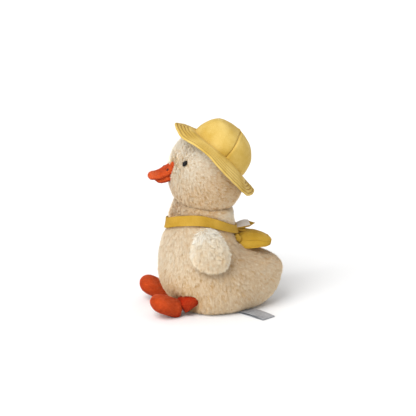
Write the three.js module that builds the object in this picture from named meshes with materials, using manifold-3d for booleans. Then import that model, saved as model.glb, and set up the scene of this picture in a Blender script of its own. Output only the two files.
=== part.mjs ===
// A seated plush duck with a cotton rain hat and a small padded shoulder bag, in millimetres.
// +Z is up, the duck faces -Y, its left side is +X, and the origin lies on the floor
// under the middle of the seat.

import * as THREE from "three";
import { mergeVertices } from "three/addons/utils/BufferGeometryUtils.js";
import Module from "manifold-3d";

const wasm = await Module();
wasm.setup();

// Clearances and cloth
const gap = 0.3;
const plushWall = 3;
const suedeWall = 1.8;
const cottonWall = 1.6;
const overrun = 60;
const floorSink = 0.5;

// Body: heights from the floor, reaches from the origin
const bodyHeight = 146;
const chestReach = 69.5;
const tailReach = 89;
const bodyHalfWidth = 57;
const bodyWidestSetback = 6;
const neckSeamHeight = 139;
const neckSeamTilt = 8.5;
// Rows of height, chest, tail and width, and how much the rear draws in to an egg's point
const bodyRowShares = [
  [-0.008, 0.37, 0.51, 0.5, 0.1],
  [0.0, 0.45, 0.58, 0.6, 0.12],
  [0.034, 0.62, 0.735, 0.79, 0.2],
  [0.089, 0.76, 0.86, 0.905, 0.3],
  [0.164, 0.885, 0.94, 0.97, 0.4],
  [0.247, 0.97, 0.975, 1.0, 0.45],
  [0.329, 1.0, 1.0, 1.0, 0.45],
  [0.384, 1.0, 0.965, 0.985, 0.45],
  [0.425, 1.0, 0.87, 0.965, 0.42],
  [0.473, 0.995, 0.7, 0.93, 0.3],
  [0.527, 0.985, 0.485, 0.885, 0.12],
  [0.616, 0.945, 0.337, 0.825, 0.0],
  [0.699, 0.88, 0.292, 0.772, 0.0],
  [0.774, 0.85, 0.27, 0.737, 0.0],
  [0.849, 0.815, 0.256, 0.71, 0.0],
  [0.918, 0.75, 0.253, 0.693, 0.0],
  [1.0, 0.675, 0.253, 0.684, 0.0],
];
const bodySides = 24;

// Head: a ball a little taller than it is long
const headBottom = 126;
const headHeight = 105;
const headFrontReach = 59.5;
const headRearReach = 39.5;
const headHalfWidth = 47;
const headWidestSetback = 10;
// Rows of height, front, rear and width
const headRowShares = [
  [0.0, 0.3, -0.05, 0.28],
  [0.038, 0.57, 0.38, 0.66],
  [0.105, 0.757, 0.63, 0.82],
  [0.2, 0.874, 0.81, 0.904],
  [0.324, 0.958, 0.95, 0.968],
  [0.438, 0.995, 1.0, 1.0],
  [0.552, 0.995, 1.0, 1.0],
  [0.657, 0.963, 0.937, 0.968],
  [0.762, 0.887, 0.81, 0.894],
  [0.848, 0.765, 0.633, 0.777],
  [0.924, 0.588, 0.367, 0.596],
  [0.976, 0.37, 0.05, 0.36],
  [1.0, 0.21, -0.14, 0.1],
];
const headSides = 20;

// Eyes: domed buttons on shanks, each locked by a washer behind the cover
const eyeRadius = 4;
const eyeDome = 2.7;
const eyeSink = 0.6;
const eyeHeight = 200;
const eyeSpacing = 60;
const shankRadius = 1.5;
const shankLength = 12;
const washerRadius = 5.2;
const washerThickness = 1.3;
const eyeSides = 12;
const eyeArcs = 4;

// Beak: reaches forward of the origin, heights from the floor
const beakTipReach = 84;
const beakRootReach = 50;
const beakHalfWidth = 14;
const beakMouthHeight = 175;
const beakTopRise = 19.5;
const beakChinDrop = 8.5;
const jawTipReach = 75;
// Rows from root to tip: place, top, underside and width
const upperBeakShares = [
  [0.0, 1.04, 0.22, 1.0],
  [0.2, 0.86, 0.14, 0.98],
  [0.42, 0.68, -0.03, 0.9],
  [0.65, 0.52, -0.13, 0.8],
  [0.84, 0.4, -0.14, 0.72],
  [0.95, 0.28, -0.06, 0.52],
  [1.0, 0.16, 0.03, 0.2],
];
const lowerBeakShares = [
  [0.0, 0.9, 0.62, 0.86],
  [0.3, 0.8, 0.78, 0.82],
  [0.6, 0.3, 0.86, 0.7],
  [0.85, -0.2, 0.72, 0.5],
  [1.0, -0.42, 0.56, 0.16],
];
const beakSides = 12;
const nostrilReach = 62;
const nostrilSpread = 11;
const nostrilRadius = 1.5;
const nostrilSides = 8;
const nostrilRings = 6;

// Wings: flat stuffed ovals hanging from the shoulders
const wingTop = 115;
const wingBottom = 60;
const wingFrontReach = 44.5;
const wingRearReach = 11.5;
const wingRootSpread = 44;
const wingTipSpread = 61;
const wingHalfThickness = 11.5;
// Rows from the top down: place, front, rear, thickness
const wingRowShares = [
  [0.0, 0.56, -1.3, 0.12],
  [0.05, 0.74, -0.7, 0.36],
  [0.16, 0.86, 0.1, 0.62],
  [0.34, 0.95, 0.7, 0.9],
  [0.52, 1.0, 0.96, 1.0],
  [0.7, 0.955, 1.0, 0.97],
  [0.84, 0.8, 0.72, 0.76],
  [0.95, 0.58, 0.12, 0.42],
  [1.0, 0.42, -1.0, 0.1],
];
const wingSides = 12;
const wingSeamHeight = 102;
const wingSeamRadius = 5;

// Legs and feet
const hipReach = 36;
const hipHeight = 23;
const hipSpread = 32;
const hipRadius = 12;
const ankleRadius = 11;
const hipSewnDepth = 8;
const legSwingLow = -25;
const legSwingHigh = 12;
const ankleSwingLow = -25;
const ankleSwingHigh = 12;
const ankleSteps = 2;
const legClearance = 0.5;
const ankleCrease = 4.5;
const legSides = 10;
const hipRings = 3;
const heelReach = 59.5;
const heelSpread = 34.5;
const heelRadius = 12.7;
const footLength = 31.5;
const footHalfWidth = 17.5;
const footHalfThickness = 12.2;
const footToeOut = 10;
const leftFootPitch = 24;
const rightFootPitch = 28;
const footSewnRadius = 6.5;
// Rows from heel centre to toe: place, thickness, width
const footRowShares = [
  [0.12, 0.985, 0.79],
  [0.3, 1.0, 0.92],
  [0.5, 1.0, 1.0],
  [0.7, 0.93, 0.98],
  [0.85, 0.73, 0.8],
  [0.95, 0.46, 0.52],
  [1.0, 0.14, 0.16],
];
const footSides = 12;
const heelRings = 3;

// Hat: tilted back, measured from the seam between crown and brim
const hatCentreSetback = 6.3;
const hatCentreHeight = 200.4;
const hatTilt = 46;
const crownRadius = 41.4;
const crownHeight = 40.5;
const crownSides = 28;
const crownSideLift = 5.5;
const crownSeamTurn = 81;
// Rows of radius and height from the brim seam to the middle of the top
const crownRowShares = [
  [1.0, 0.0],
  [0.98, 0.2],
  [0.94, 0.38],
  [0.875, 0.56],
  [0.79, 0.69],
  [0.68, 0.795],
  [0.54, 0.875],
  [0.36, 0.945],
  [0.14, 0.99],
];
const brimWidth = 25;
const brimLayer = 2;
const brimDroop = 10;
const brimSteps = 3;
const brimSagPower = 1.3;
// How far the hem droops, from the front round to the rear
const brimDroopShares = [
  [0, 0.62],
  [30, 1.0],
  [60, 0.42],
  [90, 0.76],
  [120, 0.8],
  [150, 0.45],
  [180, 0.18],
];
const hatHeadDrop = 6.5;

// Shoulder strap: a flat band closed round the foot of the neck
const strapWidth = 14;
const strapThickness = 1.8;
const strapClearance = 0.6;
const strapFrontHeight = 112;
const strapRise = 11;
const strapRows = 3;
// Half turns from the front, below zero on the duck's right, and the rise as a share
const strapRiseShares = [
  [-1.13, -0.74],
  [-1, -0.9],
  [-0.87, -0.95],
  [-0.7, -1],
  [-0.5, -0.95],
  [-0.34, -0.82],
  [-0.16, -0.41],
  [0, 0],
  [0.16, 0.5],
  [0.34, 1.06],
  [0.5, 0.95],
  [0.7, 0.1],
  [0.87, -0.74],
  [1, -0.9],
  [1.13, -0.95],
];

// Bag: a padded pouch on the duck's back, hinged where the strap is sewn on
const bagHingeSetback = 25;
const bagHingeHeight = 91;
const bagSlope = -10.5;
const bagLength = 49;
const bagHalfWidth = 21;
const bagHalfThickness = 6;
const bagCrown = 1.6;
const bagCornerPower = 3;
const bagSides = 20;
// Half thickness of the side band from the strap end to the far end
const bagThicknessShares = [
  [0.0, 0.6],
  [0.15, 0.86],
  [0.33, 1.0],
  [0.6, 0.82],
  [0.8, 0.62],
  [1.0, 0.46],
];
const bagRingShares = [0.34, 0.68, 0.9, 1.0];

// Closing tab over the bag, with its patch of white loop fabric
const tabLength = 26;
const tabWidth = 12;
const tabThickness = 1.4;
const tabSetback = 27;
const tabHeight = 102.5;
const tabSlope = 4;
const tabBend = 2.4;
const tabSteps = 6;
const patchLength = 15;
const patchInset = 1;
const patchThickness = 0.9;
const patchStart = 6;

// Care label sewn into the seat seam, lying on the floor
const labelWidth = 21;
const labelLength = 46;
const labelLeaf = 0.6;
const labelRootSide = 30;
const labelRootSetback = 31.5;
const labelTurn = 33.5;

// Bag of pellets low in the body
const pelletLength = 74;
const pelletWidth = 66;
const pelletHeight = 24;
const pelletSetback = 8;
const pelletSides = 16;
// Rows of spread and height from the seat up
const pelletRowShares = [
  [0.55, 0],
  [0.9, 0.12],
  [1.0, 0.4],
  [0.88, 0.75],
  [0.55, 1.0],
];

const up = new THREE.Vector3(0, 0, 1);

function radians(degrees) {
  return THREE.MathUtils.degToRad(degrees);
}

// Smooth values between the rows of a table whose first column rises
function rowAt(table, at) {
  const last = table.length - 1;
  const slope = (row, column) => {
    const before = table[Math.max(row - 1, 0)];
    const after = table[Math.min(row + 1, last)];
    return (after[column] - before[column]) / (after[0] - before[0]);
  };
  let low = 0;
  while (low < last - 1 && table[low + 1][0] < at) low += 1;
  const span = table[low + 1][0] - table[low][0];
  const t = THREE.MathUtils.clamp((at - table[low][0]) / span, 0, 1);
  return table[low].map((value, column) => {
    const rise = table[low + 1][column] - value;
    const first = slope(low, column) * span - rise;
    const second = rise - slope(low + 1, column) * span;
    return value + t * rise + t * (1 - t) * (first * (1 - t) + second * t);
  });
}

// An indexed mesh with its faces turned outwards
function outwardGeometry(points, faces) {
  let volume = 0;
  for (const [a, b, c] of faces) {
    volume += points[a].dot(points[b].clone().cross(points[c]));
  }
  const turned = volume < 0 ? faces.map(([a, b, c]) => [a, c, b]) : faces;
  const geometry = new THREE.BufferGeometry().setFromPoints(points);
  geometry.setIndex(turned.flat());
  return geometry;
}

// A closed skin over rings of points, with a fan over the first and the last ring
function ringLoft(rings) {
  const sides = rings[0].length;
  const points = rings.flat();
  const faces = [];
  for (let ring = 0; ring < rings.length - 1; ring += 1) {
    for (let side = 0; side < sides; side += 1) {
      const next = (side + 1) % sides;
      const a = ring * sides + side;
      const b = ring * sides + next;
      faces.push([a, b, b + sides], [a, b + sides, a + sides]);
    }
  }
  const fans = [
    [0, 1],
    [rings.length - 1, -1],
  ];
  for (const [ring, turn] of fans) {
    const middle = new THREE.Vector3();
    for (const point of rings[ring]) middle.addScaledVector(point, 1 / sides);
    points.push(middle);
    for (let side = 0; side < sides; side += 1) {
      const a = ring * sides + side;
      const b = ring * sides + ((side + 1) % sides);
      faces.push(turn > 0 ? [points.length - 1, b, a] : [points.length - 1, a, b]);
    }
  }
  return outwardGeometry(points, faces);
}

// A sheet with thickness between two grids of points, joined round when it wraps
function sheet(outer, inner, wraps) {
  const rows = outer.length;
  const columns = outer[0].length;
  const points = [...outer.flat(), ...inner.flat()];
  const under = rows * columns;
  const faces = [];
  const quad = (a, b, c, d) => faces.push([a, b, c], [a, c, d]);
  const at = (row, column) => (row % rows) * columns + column;
  const lastRow = wraps ? rows : rows - 1;
  for (let row = 0; row < lastRow; row += 1) {
    for (let column = 0; column < columns - 1; column += 1) {
      const a = at(row, column);
      const b = at(row + 1, column);
      const c = at(row + 1, column + 1);
      const d = at(row, column + 1);
      quad(a, b, c, d);
      faces.push([under + c, under + b, under + a], [under + d, under + c, under + a]);
    }
    const far = columns - 1;
    quad(under + at(row, 0), under + at(row + 1, 0), at(row + 1, 0), at(row, 0));
    quad(at(row, far), at(row + 1, far), under + at(row + 1, far), under + at(row, far));
  }
  if (!wraps) {
    for (let column = 0; column < columns - 1; column += 1) {
      const a = at(0, column);
      const b = at(0, column + 1);
      const c = at(rows - 1, column);
      const d = at(rows - 1, column + 1);
      quad(a, b, under + b, under + a);
      quad(d, c, under + c, under + d);
    }
  }
  return outwardGeometry(points, faces);
}

// The same skin moved along its own normals: inwards for a depth above zero
function inset(geometry, depth) {
  const moved = geometry.clone();
  moved.computeVertexNormals();
  const place = moved.getAttribute("position");
  const normal = moved.getAttribute("normal");
  for (let i = 0; i < place.count; i += 1) {
    place.setXYZ(
      i,
      place.getX(i) - normal.getX(i) * depth,
      place.getY(i) - normal.getY(i) * depth,
      place.getZ(i) - normal.getZ(i) * depth,
    );
  }
  moved.deleteAttribute("normal");
  return moved;
}

function solid(geometry) {
  const bare = geometry.clone();
  bare.deleteAttribute("normal");
  bare.deleteAttribute("uv");
  const merged = mergeVertices(bare);
  return new wasm.Manifold(
    new wasm.Mesh({
      numProp: 3,
      vertProperties: new Float32Array(merged.getAttribute("position").array),
      triVerts: new Uint32Array(merged.getIndex().array),
    }),
  );
}

function geometryOf(manifold) {
  const mesh = manifold.getMesh();
  const geometry = new THREE.BufferGeometry();
  geometry.setAttribute("position", new THREE.BufferAttribute(mesh.vertProperties, mesh.numProp));
  geometry.setIndex(new THREE.BufferAttribute(mesh.triVerts, 1));
  return geometry;
}

// A block for cutting, centred over a point and tilted about X
function block(size, centre, tilt = 0) {
  const box = new THREE.BoxGeometry(size.x, size.y, size.z);
  box.rotateX(radians(tilt));
  box.translate(centre.x, centre.y, centre.z);
  return solid(box);
}

// A round rod whose axis runs along a direction from a point
function rod(radius, length, from, direction, sides) {
  const cylinder = new THREE.CylinderGeometry(radius, radius, length, sides);
  cylinder.rotateX(radians(90));
  cylinder.translate(0, 0, length / 2);
  return cylinder.applyMatrix4(placing(from, direction));
}

// The matrix that takes the local +Z axis to a direction from a point
function placing(from, direction) {
  const turn = new THREE.Quaternion().setFromUnitVectors(up, direction.clone().normalize());
  return new THREE.Matrix4().compose(from, turn, new THREE.Vector3(1, 1, 1));
}

function mirrored(geometry) {
  const copy = geometry.clone().applyMatrix4(new THREE.Matrix4().makeScale(-1, 1, 1));
  const index = Array.from(copy.getIndex().array);
  for (let i = 0; i < index.length; i += 3) {
    [index[i + 1], index[i + 2]] = [index[i + 2], index[i + 1]];
  }
  copy.setIndex(index);
  return copy;
}

const model = new THREE.Group();

// Colours of the finishes
const finishes = {
  plush: { color: "#e2cda6", roughness: 0.95, metalness: 0 },
  palePlush: { color: "#ebdfc8", roughness: 0.95, metalness: 0 },
  suede: { color: "#cf4d27", roughness: 0.9, metalness: 0 },
  beakSuede: { color: "#e0582f", roughness: 0.9, metalness: 0 },
  cotton: { color: "#e9c55d", roughness: 0.85, metalness: 0 },
  darkCotton: { color: "#c89a34", roughness: 0.85, metalness: 0 },
  loop: { color: "#e6e0d6", roughness: 0.95, metalness: 0 },
  label: { color: "#d9d6d4", roughness: 0.8, metalness: 0 },
  filling: { color: "#f4f2ee", roughness: 1, metalness: 0 },
  pellets: { color: "#c9c6bf", roughness: 0.9, metalness: 0 },
  eye: { color: "#0b0a0a", roughness: 0.12, metalness: 0 },
  washer: { color: "#e8e8e6", roughness: 0.5, metalness: 0 },
  thread: { color: "#5a2416", roughness: 0.9, metalness: 0 },
};

function addPart(name, shape, finish) {
  const geometry = shape.isBufferGeometry ? shape : geometryOf(shape);
  const mesh = new THREE.Mesh(geometry, new THREE.MeshStandardMaterial(finishes[finish]));
  mesh.name = name;
  model.add(mesh);
}

// A point of the body's surface at a height, turned from the front towards the left side
function bodyPoint(height, angle) {
  const [, chest, tail, width, egg] = rowAt(bodyRowShares, height / bodyHeight);
  const ahead = Math.cos(angle);
  const across = Math.sin(angle);
  const reach = ahead > 0 ? chest * chestReach - bodyWidestSetback : tail * tailReach + bodyWidestSetback;
  const draw = ahead > 0 ? 1 : 1 - egg * ahead * ahead;
  return new THREE.Vector3(
    width * bodyHalfWidth * across * draw,
    -bodyWidestSetback - ahead * reach,
    height,
  );
}

function headPoint(height, angle) {
  const [, front, rear, width] = rowAt(headRowShares, (height - headBottom) / headHeight);
  const ahead = Math.cos(angle);
  const reach =
    ahead > 0 ? front * headFrontReach - headWidestSetback : rear * headRearReach + headWidestSetback;
  return new THREE.Vector3(
    width * headHalfWidth * Math.sin(angle),
    -headWidestSetback - ahead * reach,
    height,
  );
}

function ringOf(pointAt, height, sides) {
  return Array.from({ length: sides }, (_, side) => pointAt(height, (side / sides) * 2 * Math.PI));
}

const bodyForm = ringLoft(
  bodyRowShares.map(([share]) => ringOf(bodyPoint, share * bodyHeight, bodySides)),
);
const headForm = ringLoft(
  headRowShares.map(([share]) => ringOf(headPoint, headBottom + share * headHeight, headSides)),
);

// Everything above, or below, the tilted plane where the head is sewn to the neck
function neckCut(side) {
  const size = new THREE.Vector3(4 * bodyHalfWidth, 4 * tailReach, 2 * overrun);
  const normal = new THREE.Vector3(0, Math.sin(radians(neckSeamTilt)), Math.cos(radians(neckSeamTilt)));
  const centre = new THREE.Vector3(0, -bodyWidestSetback * 2, neckSeamHeight);
  centre.addScaledVector(normal, side * (overrun - gap / 2));
  return block(size, centre, -neckSeamTilt);
}
const floorCut = block(
  new THREE.Vector3(4 * bodyHalfWidth, 4 * tailReach, 2 * overrun),
  new THREE.Vector3(0, 0, -overrun),
);

// Leg: a stuffed stub from a rounded hip to the heel it is sewn to
const hip = new THREE.Vector3(hipSpread, -hipReach, hipHeight);
const heel = new THREE.Vector3(heelSpread, -heelReach, heelRadius - floorSink);
const legDirection = heel.clone().sub(hip);
const legSpan = legDirection.length();

function legForm() {
  const rings = [];
  for (let arc = 1; arc <= hipRings; arc += 1) {
    const turn = (arc / hipRings) * (Math.PI / 2);
    rings.push([hipRadius * Math.sin(turn), -hipRadius * Math.cos(turn)]);
  }
  rings.push([(hipRadius + ankleRadius) / 2, legSpan / 2]);
  rings.push([ankleRadius, legSpan]);
  const turned = rings.map(([radius, along]) =>
    Array.from({ length: legSides }, (_, side) => {
      const angle = (side / legSides) * 2 * Math.PI;
      return new THREE.Vector3(radius * Math.cos(angle), radius * Math.sin(angle), along);
    }),
  );
  return ringLoft(turned).applyMatrix4(placing(hip, legDirection));
}

// Foot: a stuffed oval with a round heel, turned up at the toe
function footForm(pitch) {
  const rings = [];
  for (let arc = 1; arc <= heelRings; arc += 1) {
    const turn = (arc / heelRings) * (Math.PI / 2);
    const radius = heelRadius * Math.sin(turn);
    rings.push([radius, radius, -heelRadius * Math.cos(turn)]);
  }
  for (const [place, thickness, width] of footRowShares) {
    rings.push([width * footHalfWidth, thickness * footHalfThickness, place * footLength]);
  }
  const turned = rings.map(([width, thickness, along]) =>
    Array.from({ length: footSides }, (_, side) => {
      const angle = (side / footSides) * 2 * Math.PI;
      return new THREE.Vector3(width * Math.cos(angle), thickness * Math.sin(angle), along);
    }),
  );
  const form = ringLoft(turned);
  form.rotateX(radians(90 - pitch));
  form.rotateZ(radians(footToeOut));
  return form.translate(heel.x, heel.y, heel.z);
}

// The space that a leg sweeps about its hip, with clearance: its rings are drawn apart
// by the swing, so they widen with the distance from the hip
function legSweep() {
  const half = radians((legSwingHigh - legSwingLow) / 2);
  const radius = hipRadius / Math.cos(Math.PI / legSides) + legClearance;
  const rings = [];
  for (let arc = 1; arc <= hipRings; arc += 1) {
    const turn = (arc / hipRings) * (Math.PI / 2);
    rings.push([radius * Math.sin(turn), -radius * Math.cos(turn)]);
  }
  rings.push([radius, legSpan]);
  const turned = rings.map(([reach, along]) =>
    Array.from({ length: legSides }, (_, side) => {
      const angle = ((side + 1 / 2) / legSides) * 2 * Math.PI;
      const apart = Math.sign(Math.sin(angle)) * Math.max(along, 0) * Math.tan(half);
      return new THREE.Vector3(reach * Math.cos(angle), reach * Math.sin(angle) + apart, along);
    }),
  );
  const form = ringLoft(turned).applyMatrix4(placing(new THREE.Vector3(), legDirection));
  form.rotateX(radians(-(legSwingLow + legSwingHigh) / 2));
  return solid(form.translate(hip.x, hip.y, hip.z));
}

// Pellet bag: a flat cushion on the inside of the seat
function pelletRings(growth) {
  return pelletRowShares.map(([spread, rise]) =>
    Array.from({ length: pelletSides }, (_, side) => {
      const angle = (side / pelletSides) * 2 * Math.PI;
      return new THREE.Vector3(
        Math.sin(angle) * (spread * (pelletWidth / 2) + growth),
        pelletSetback + Math.cos(angle) * (spread * (pelletLength / 2) + growth),
        rise * (pelletHeight + growth) - (rise > 0 ? 0 : plushWall),
      );
    }),
  );
}

const neckTop = neckCut(1);
const neckBase = neckCut(-1);
const leftSweep = legSweep();
const rightSweep = solid(mirrored(geometryOf(leftSweep)));
const legSockets = leftSweep.add(rightSweep);

const bodyOuter = solid(bodyForm).subtract(floorCut).subtract(neckTop);
const bodyCover = bodyOuter.subtract(solid(inset(bodyForm, plushWall))).subtract(legSockets);
addPart("body_cover", bodyCover, "plush");

const bodyFilling = solid(inset(bodyForm, plushWall + gap)).subtract(neckTop).subtract(legSockets);
addPart("body_stuffing", bodyFilling.subtract(solid(ringLoft(pelletRings(gap)))), "filling");
const pelletBag = solid(ringLoft(pelletRings(0))).intersect(solid(inset(bodyForm, plushWall + gap)));
addPart("pellet_bag", pelletBag.subtract(legSockets), "pellets");

// Frame of the hat: origin at the middle of its brim seam, local +Z along the crown
const hatCentre = new THREE.Vector3(0, hatCentreSetback, hatCentreHeight);
const hatPlacing = new THREE.Matrix4()
  .makeRotationX(radians(-hatTilt))
  .setPosition(hatCentre.x, hatCentre.y, hatCentre.z);

// A point of the hat from its radius, turn from the front and height along the crown
function hatPoint(radius, angle, height) {
  return new THREE.Vector3(radius * Math.sin(angle), -radius * Math.cos(angle), height);
}

// The crown's profile from the brim seam to the middle of the top, inwards by a depth
function crownProfile(depth) {
  const rows = crownRowShares.map(
    ([radius, height]) => new THREE.Vector2(radius * crownRadius, height * crownHeight),
  );
  return rows.map((row, index) => {
    const along = rows[Math.min(index + 1, rows.length - 1)].clone();
    along.sub(rows[Math.max(index - 1, 0)]).normalize();
    return new THREE.Vector2(row.x - along.y * depth, row.y + along.x * depth);
  });
}

// The room inside the hat that the head may fill
function hatRoom() {
  const reach = crownRadius + brimWidth + overrun;
  const inner = crownProfile(cottonWall + gap);
  const profile = [
    new THREE.Vector2(0, -reach * 2),
    new THREE.Vector2(reach, -reach * 2),
    new THREE.Vector2(reach, -hatHeadDrop),
    new THREE.Vector2(inner[0].x, -hatHeadDrop),
    ...inner,
    new THREE.Vector2(0, inner[inner.length - 1].y),
  ];
  const room = new THREE.LatheGeometry(profile, crownSides);
  room.rotateX(radians(90));
  return solid(room.applyMatrix4(hatPlacing));
}

// Eyes stand square to the face where they are set
function facePlace(height, side) {
  const [, , , width] = rowAt(headRowShares, (height - headBottom) / headHeight);
  const angle = Math.asin(side / (width * headHalfWidth));
  const small = 0.01;
  const place = headPoint(height, angle);
  const along = headPoint(height, angle + small).sub(place);
  const upward = headPoint(height + small * headHeight, angle).sub(place);
  return { place, normal: along.cross(upward).normalize() };
}

function lathe(profile, sides) {
  const points = profile.map(([radius, height]) => new THREE.Vector2(radius, height));
  const turned = new THREE.LatheGeometry(points, sides);
  return turned.rotateX(radians(90));
}

function eyeShape(growth) {
  const profile = [[0, -shankLength - growth]];
  profile.push([shankRadius + growth, -shankLength - growth]);
  profile.push([shankRadius + growth, -growth]);
  for (let arc = 0; arc <= eyeArcs; arc += 1) {
    const turn = (arc / eyeArcs) * (Math.PI / 2);
    const height = (eyeDome + growth) * Math.sin(turn) - (arc ? 0 : growth);
    profile.push([arc === eyeArcs ? 0 : (eyeRadius + growth) * Math.cos(turn), height]);
  }
  return lathe(profile, eyeSides);
}

function washerShape(growth) {
  const low = -(plushWall + eyeSink) - washerThickness * 2;
  const high = low + washerThickness;
  const inner = shankRadius + gap - growth;
  const outer = washerRadius + growth;
  return lathe(
    [
      [inner, low - growth],
      [outer, low - growth],
      [outer, high + growth],
      [inner, high + growth],
      [inner, low - growth],
    ],
    eyeSides,
  );
}

const eyePlace = facePlace(eyeHeight, eyeSpacing / 2);
const eyeSeat = eyePlace.place.clone().addScaledVector(eyePlace.normal, -eyeSink);
const eyeMatrix = placing(eyeSeat, eyePlace.normal);
const leftEye = eyeShape(0).applyMatrix4(eyeMatrix);
const leftWasher = washerShape(0).applyMatrix4(eyeMatrix);
let eyeRoom = solid(eyeShape(gap).applyMatrix4(eyeMatrix));
eyeRoom = eyeRoom.add(solid(washerShape(gap).applyMatrix4(eyeMatrix)));
eyeRoom = eyeRoom.add(solid(mirrored(geometryOf(eyeRoom))));

const headOuter = solid(headForm).subtract(neckBase).intersect(hatRoom());
const headShell = headOuter.subtract(solid(inset(headForm, plushWall))).subtract(eyeRoom);
addPart("head_cover", headShell, "plush");
const headFilling = solid(inset(headForm, plushWall + gap)).subtract(neckBase).intersect(hatRoom());
addPart("head_stuffing", headFilling.subtract(eyeRoom), "filling");
for (const [side, turn] of [
  ["left", (shape) => shape],
  ["right", (shape) => mirrored(mergeVertices(shape))],
]) {
  addPart(`${side}_eye`, solid(turn(leftEye)), "eye");
  addPart(`${side}_eye_washer`, solid(turn(leftWasher)), "washer");
}

// Beak: an upper and a lower stuffed pouch, sewn to the face and to each other
function beakForm(rowShares, tipReach, topRise, underRise) {
  const rings = rowShares.map(([place, top, under, width]) => {
    const reach = beakRootReach + place * (tipReach - beakRootReach);
    const high = beakMouthHeight + topRise(top);
    const low = beakMouthHeight + underRise(under);
    return Array.from({ length: beakSides }, (_, side) => {
      const angle = (side / beakSides) * 2 * Math.PI;
      const middle = (high + low) / 2;
      return new THREE.Vector3(
        width * beakHalfWidth * Math.cos(angle),
        -reach,
        middle + ((high - low) / 2) * Math.sin(angle),
      );
    });
  });
  return ringLoft(rings);
}
const faceGrown = solid(inset(headForm, -gap));
const upperBeak = beakForm(
  upperBeakShares,
  beakTipReach,
  (share) => share * beakTopRise,
  (share) => share * beakTopRise,
);
const lowerBeak = beakForm(
  lowerBeakShares,
  jawTipReach,
  (share) => share * beakChinDrop,
  (share) => -share * beakChinDrop,
);
const nostrils = [1, -1].map((side) => {
  const knot = new THREE.SphereGeometry(nostrilRadius, nostrilSides, nostrilRings);
  const share = (nostrilReach - beakRootReach) / (beakTipReach - beakRootReach);
  const [, top, under, width] = rowAt(upperBeakShares, share);
  const across = nostrilSpread / (width * beakHalfWidth);
  const half = ((top - under) / 2) * beakTopRise;
  const middle = beakMouthHeight + ((top + under) / 2) * beakTopRise;
  const height = middle + half * Math.sqrt(1 - across * across);
  return knot.translate(side * nostrilSpread, -nostrilReach, height);
});
const nostrilRoom = nostrils.map((knot) => {
  const centre = new THREE.Vector3();
  knot.computeBoundingBox();
  knot.boundingBox.getCenter(centre);
  const room = new THREE.SphereGeometry(nostrilRadius + gap, nostrilSides, nostrilRings);
  return solid(room.translate(centre.x, centre.y, centre.z));
});
const upperBeakSolid = solid(upperBeak).subtract(faceGrown).subtract(nostrilRoom[0]);
addPart("beak_upper", upperBeakSolid.subtract(nostrilRoom[1]), "beakSuede");
const lowerBeakSolid = solid(lowerBeak).subtract(faceGrown);
addPart("beak_lower", lowerBeakSolid.subtract(solid(inset(upperBeak, -gap))), "beakSuede");
addPart("left_nostril_knot", solid(nostrils[0]), "thread");
addPart("right_nostril_knot", solid(nostrils[1]), "thread");

// Wings
function wingForm() {
  const rings = wingRowShares.map(([place, front, rear, thickness]) => {
    const height = wingTop + place * (wingBottom - wingTop);
    const spread = wingRootSpread + (wingTipSpread - wingRootSpread) * Math.sqrt(place);
    const frontY = -front * wingFrontReach;
    const rearY = rear * wingRearReach;
    return Array.from({ length: wingSides }, (_, side) => {
      const angle = (side / wingSides) * 2 * Math.PI;
      return new THREE.Vector3(
        spread + thickness * wingHalfThickness * Math.cos(angle),
        (frontY + rearY) / 2 + ((rearY - frontY) / 2) * Math.sin(angle),
        height,
      );
    });
  });
  return ringLoft(rings);
}
const leftWing = wingForm();
const bodyGrown = solid(inset(bodyForm, -gap));
const wingSeam = solid(
  rod(
    wingSeamRadius,
    wingTipSpread,
    new THREE.Vector3(0, (-wingFrontReach + wingRearReach) / 2, wingSeamHeight),
    new THREE.Vector3(1, 0, 0),
    wingSides,
  ),
).subtract(
  block(
    new THREE.Vector3(overrun, overrun * 2, overrun * 4),
    new THREE.Vector3(wingTipSpread - wingHalfThickness / 2 + overrun / 2, 0, wingSeamHeight),
  ),
);

// Strap: its grid of points lies on the body's surface, a little proud of it
function strapHeightAt(angle) {
  const turn = Math.atan2(Math.sin(angle), Math.cos(angle)) / Math.PI;
  return strapFrontHeight + rowAt(strapRiseShares, turn)[1] * strapRise;
}

function strapGrid(proud) {
  const grid = [];
  for (let side = 0; side < bodySides; side += 1) {
    const angle = (side / bodySides) * 2 * Math.PI;
    const middle = strapHeightAt(angle);
    const row = [];
    for (let line = 0; line < strapRows; line += 1) {
      const height = middle + strapWidth * (line / (strapRows - 1) - 1 / 2);
      const point = bodyPoint(height, angle);
      const outward = new THREE.Vector3(Math.sin(angle), -Math.cos(angle), 0);
      row.push(point.addScaledVector(outward, proud));
    }
    grid.push(row);
  }
  return grid;
}
const strapNear = strapClearance + gap;
const strapBand = sheet(strapGrid(strapNear + strapThickness), strapGrid(strapNear), true);
const strapRoom = solid(inset(strapBand, -gap)).add(
  solid(sheet(strapGrid(strapNear + strapThickness + gap), strapGrid(-plushWall / 2), true)),
);
addPart("strap_band", solid(strapBand).subtract(bodyGrown), "cotton");

const sides = [
  ["left", (shape) => shape],
  ["right", (shape) => solid(mirrored(geometryOf(shape)))],
];
for (const [side, turn] of sides) {
  const outer = turn(solid(leftWing)).subtract(bodyGrown).subtract(strapRoom);
  const inner = turn(solid(inset(leftWing, suedeWall)));
  addPart(`${side}_wing_cover`, outer.subtract(inner).subtract(turn(wingSeam)), "palePlush");
  const filling = turn(solid(inset(leftWing, suedeWall + gap)));
  addPart(`${side}_wing_stuffing`, filling.intersect(outer), "filling");
}

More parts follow.
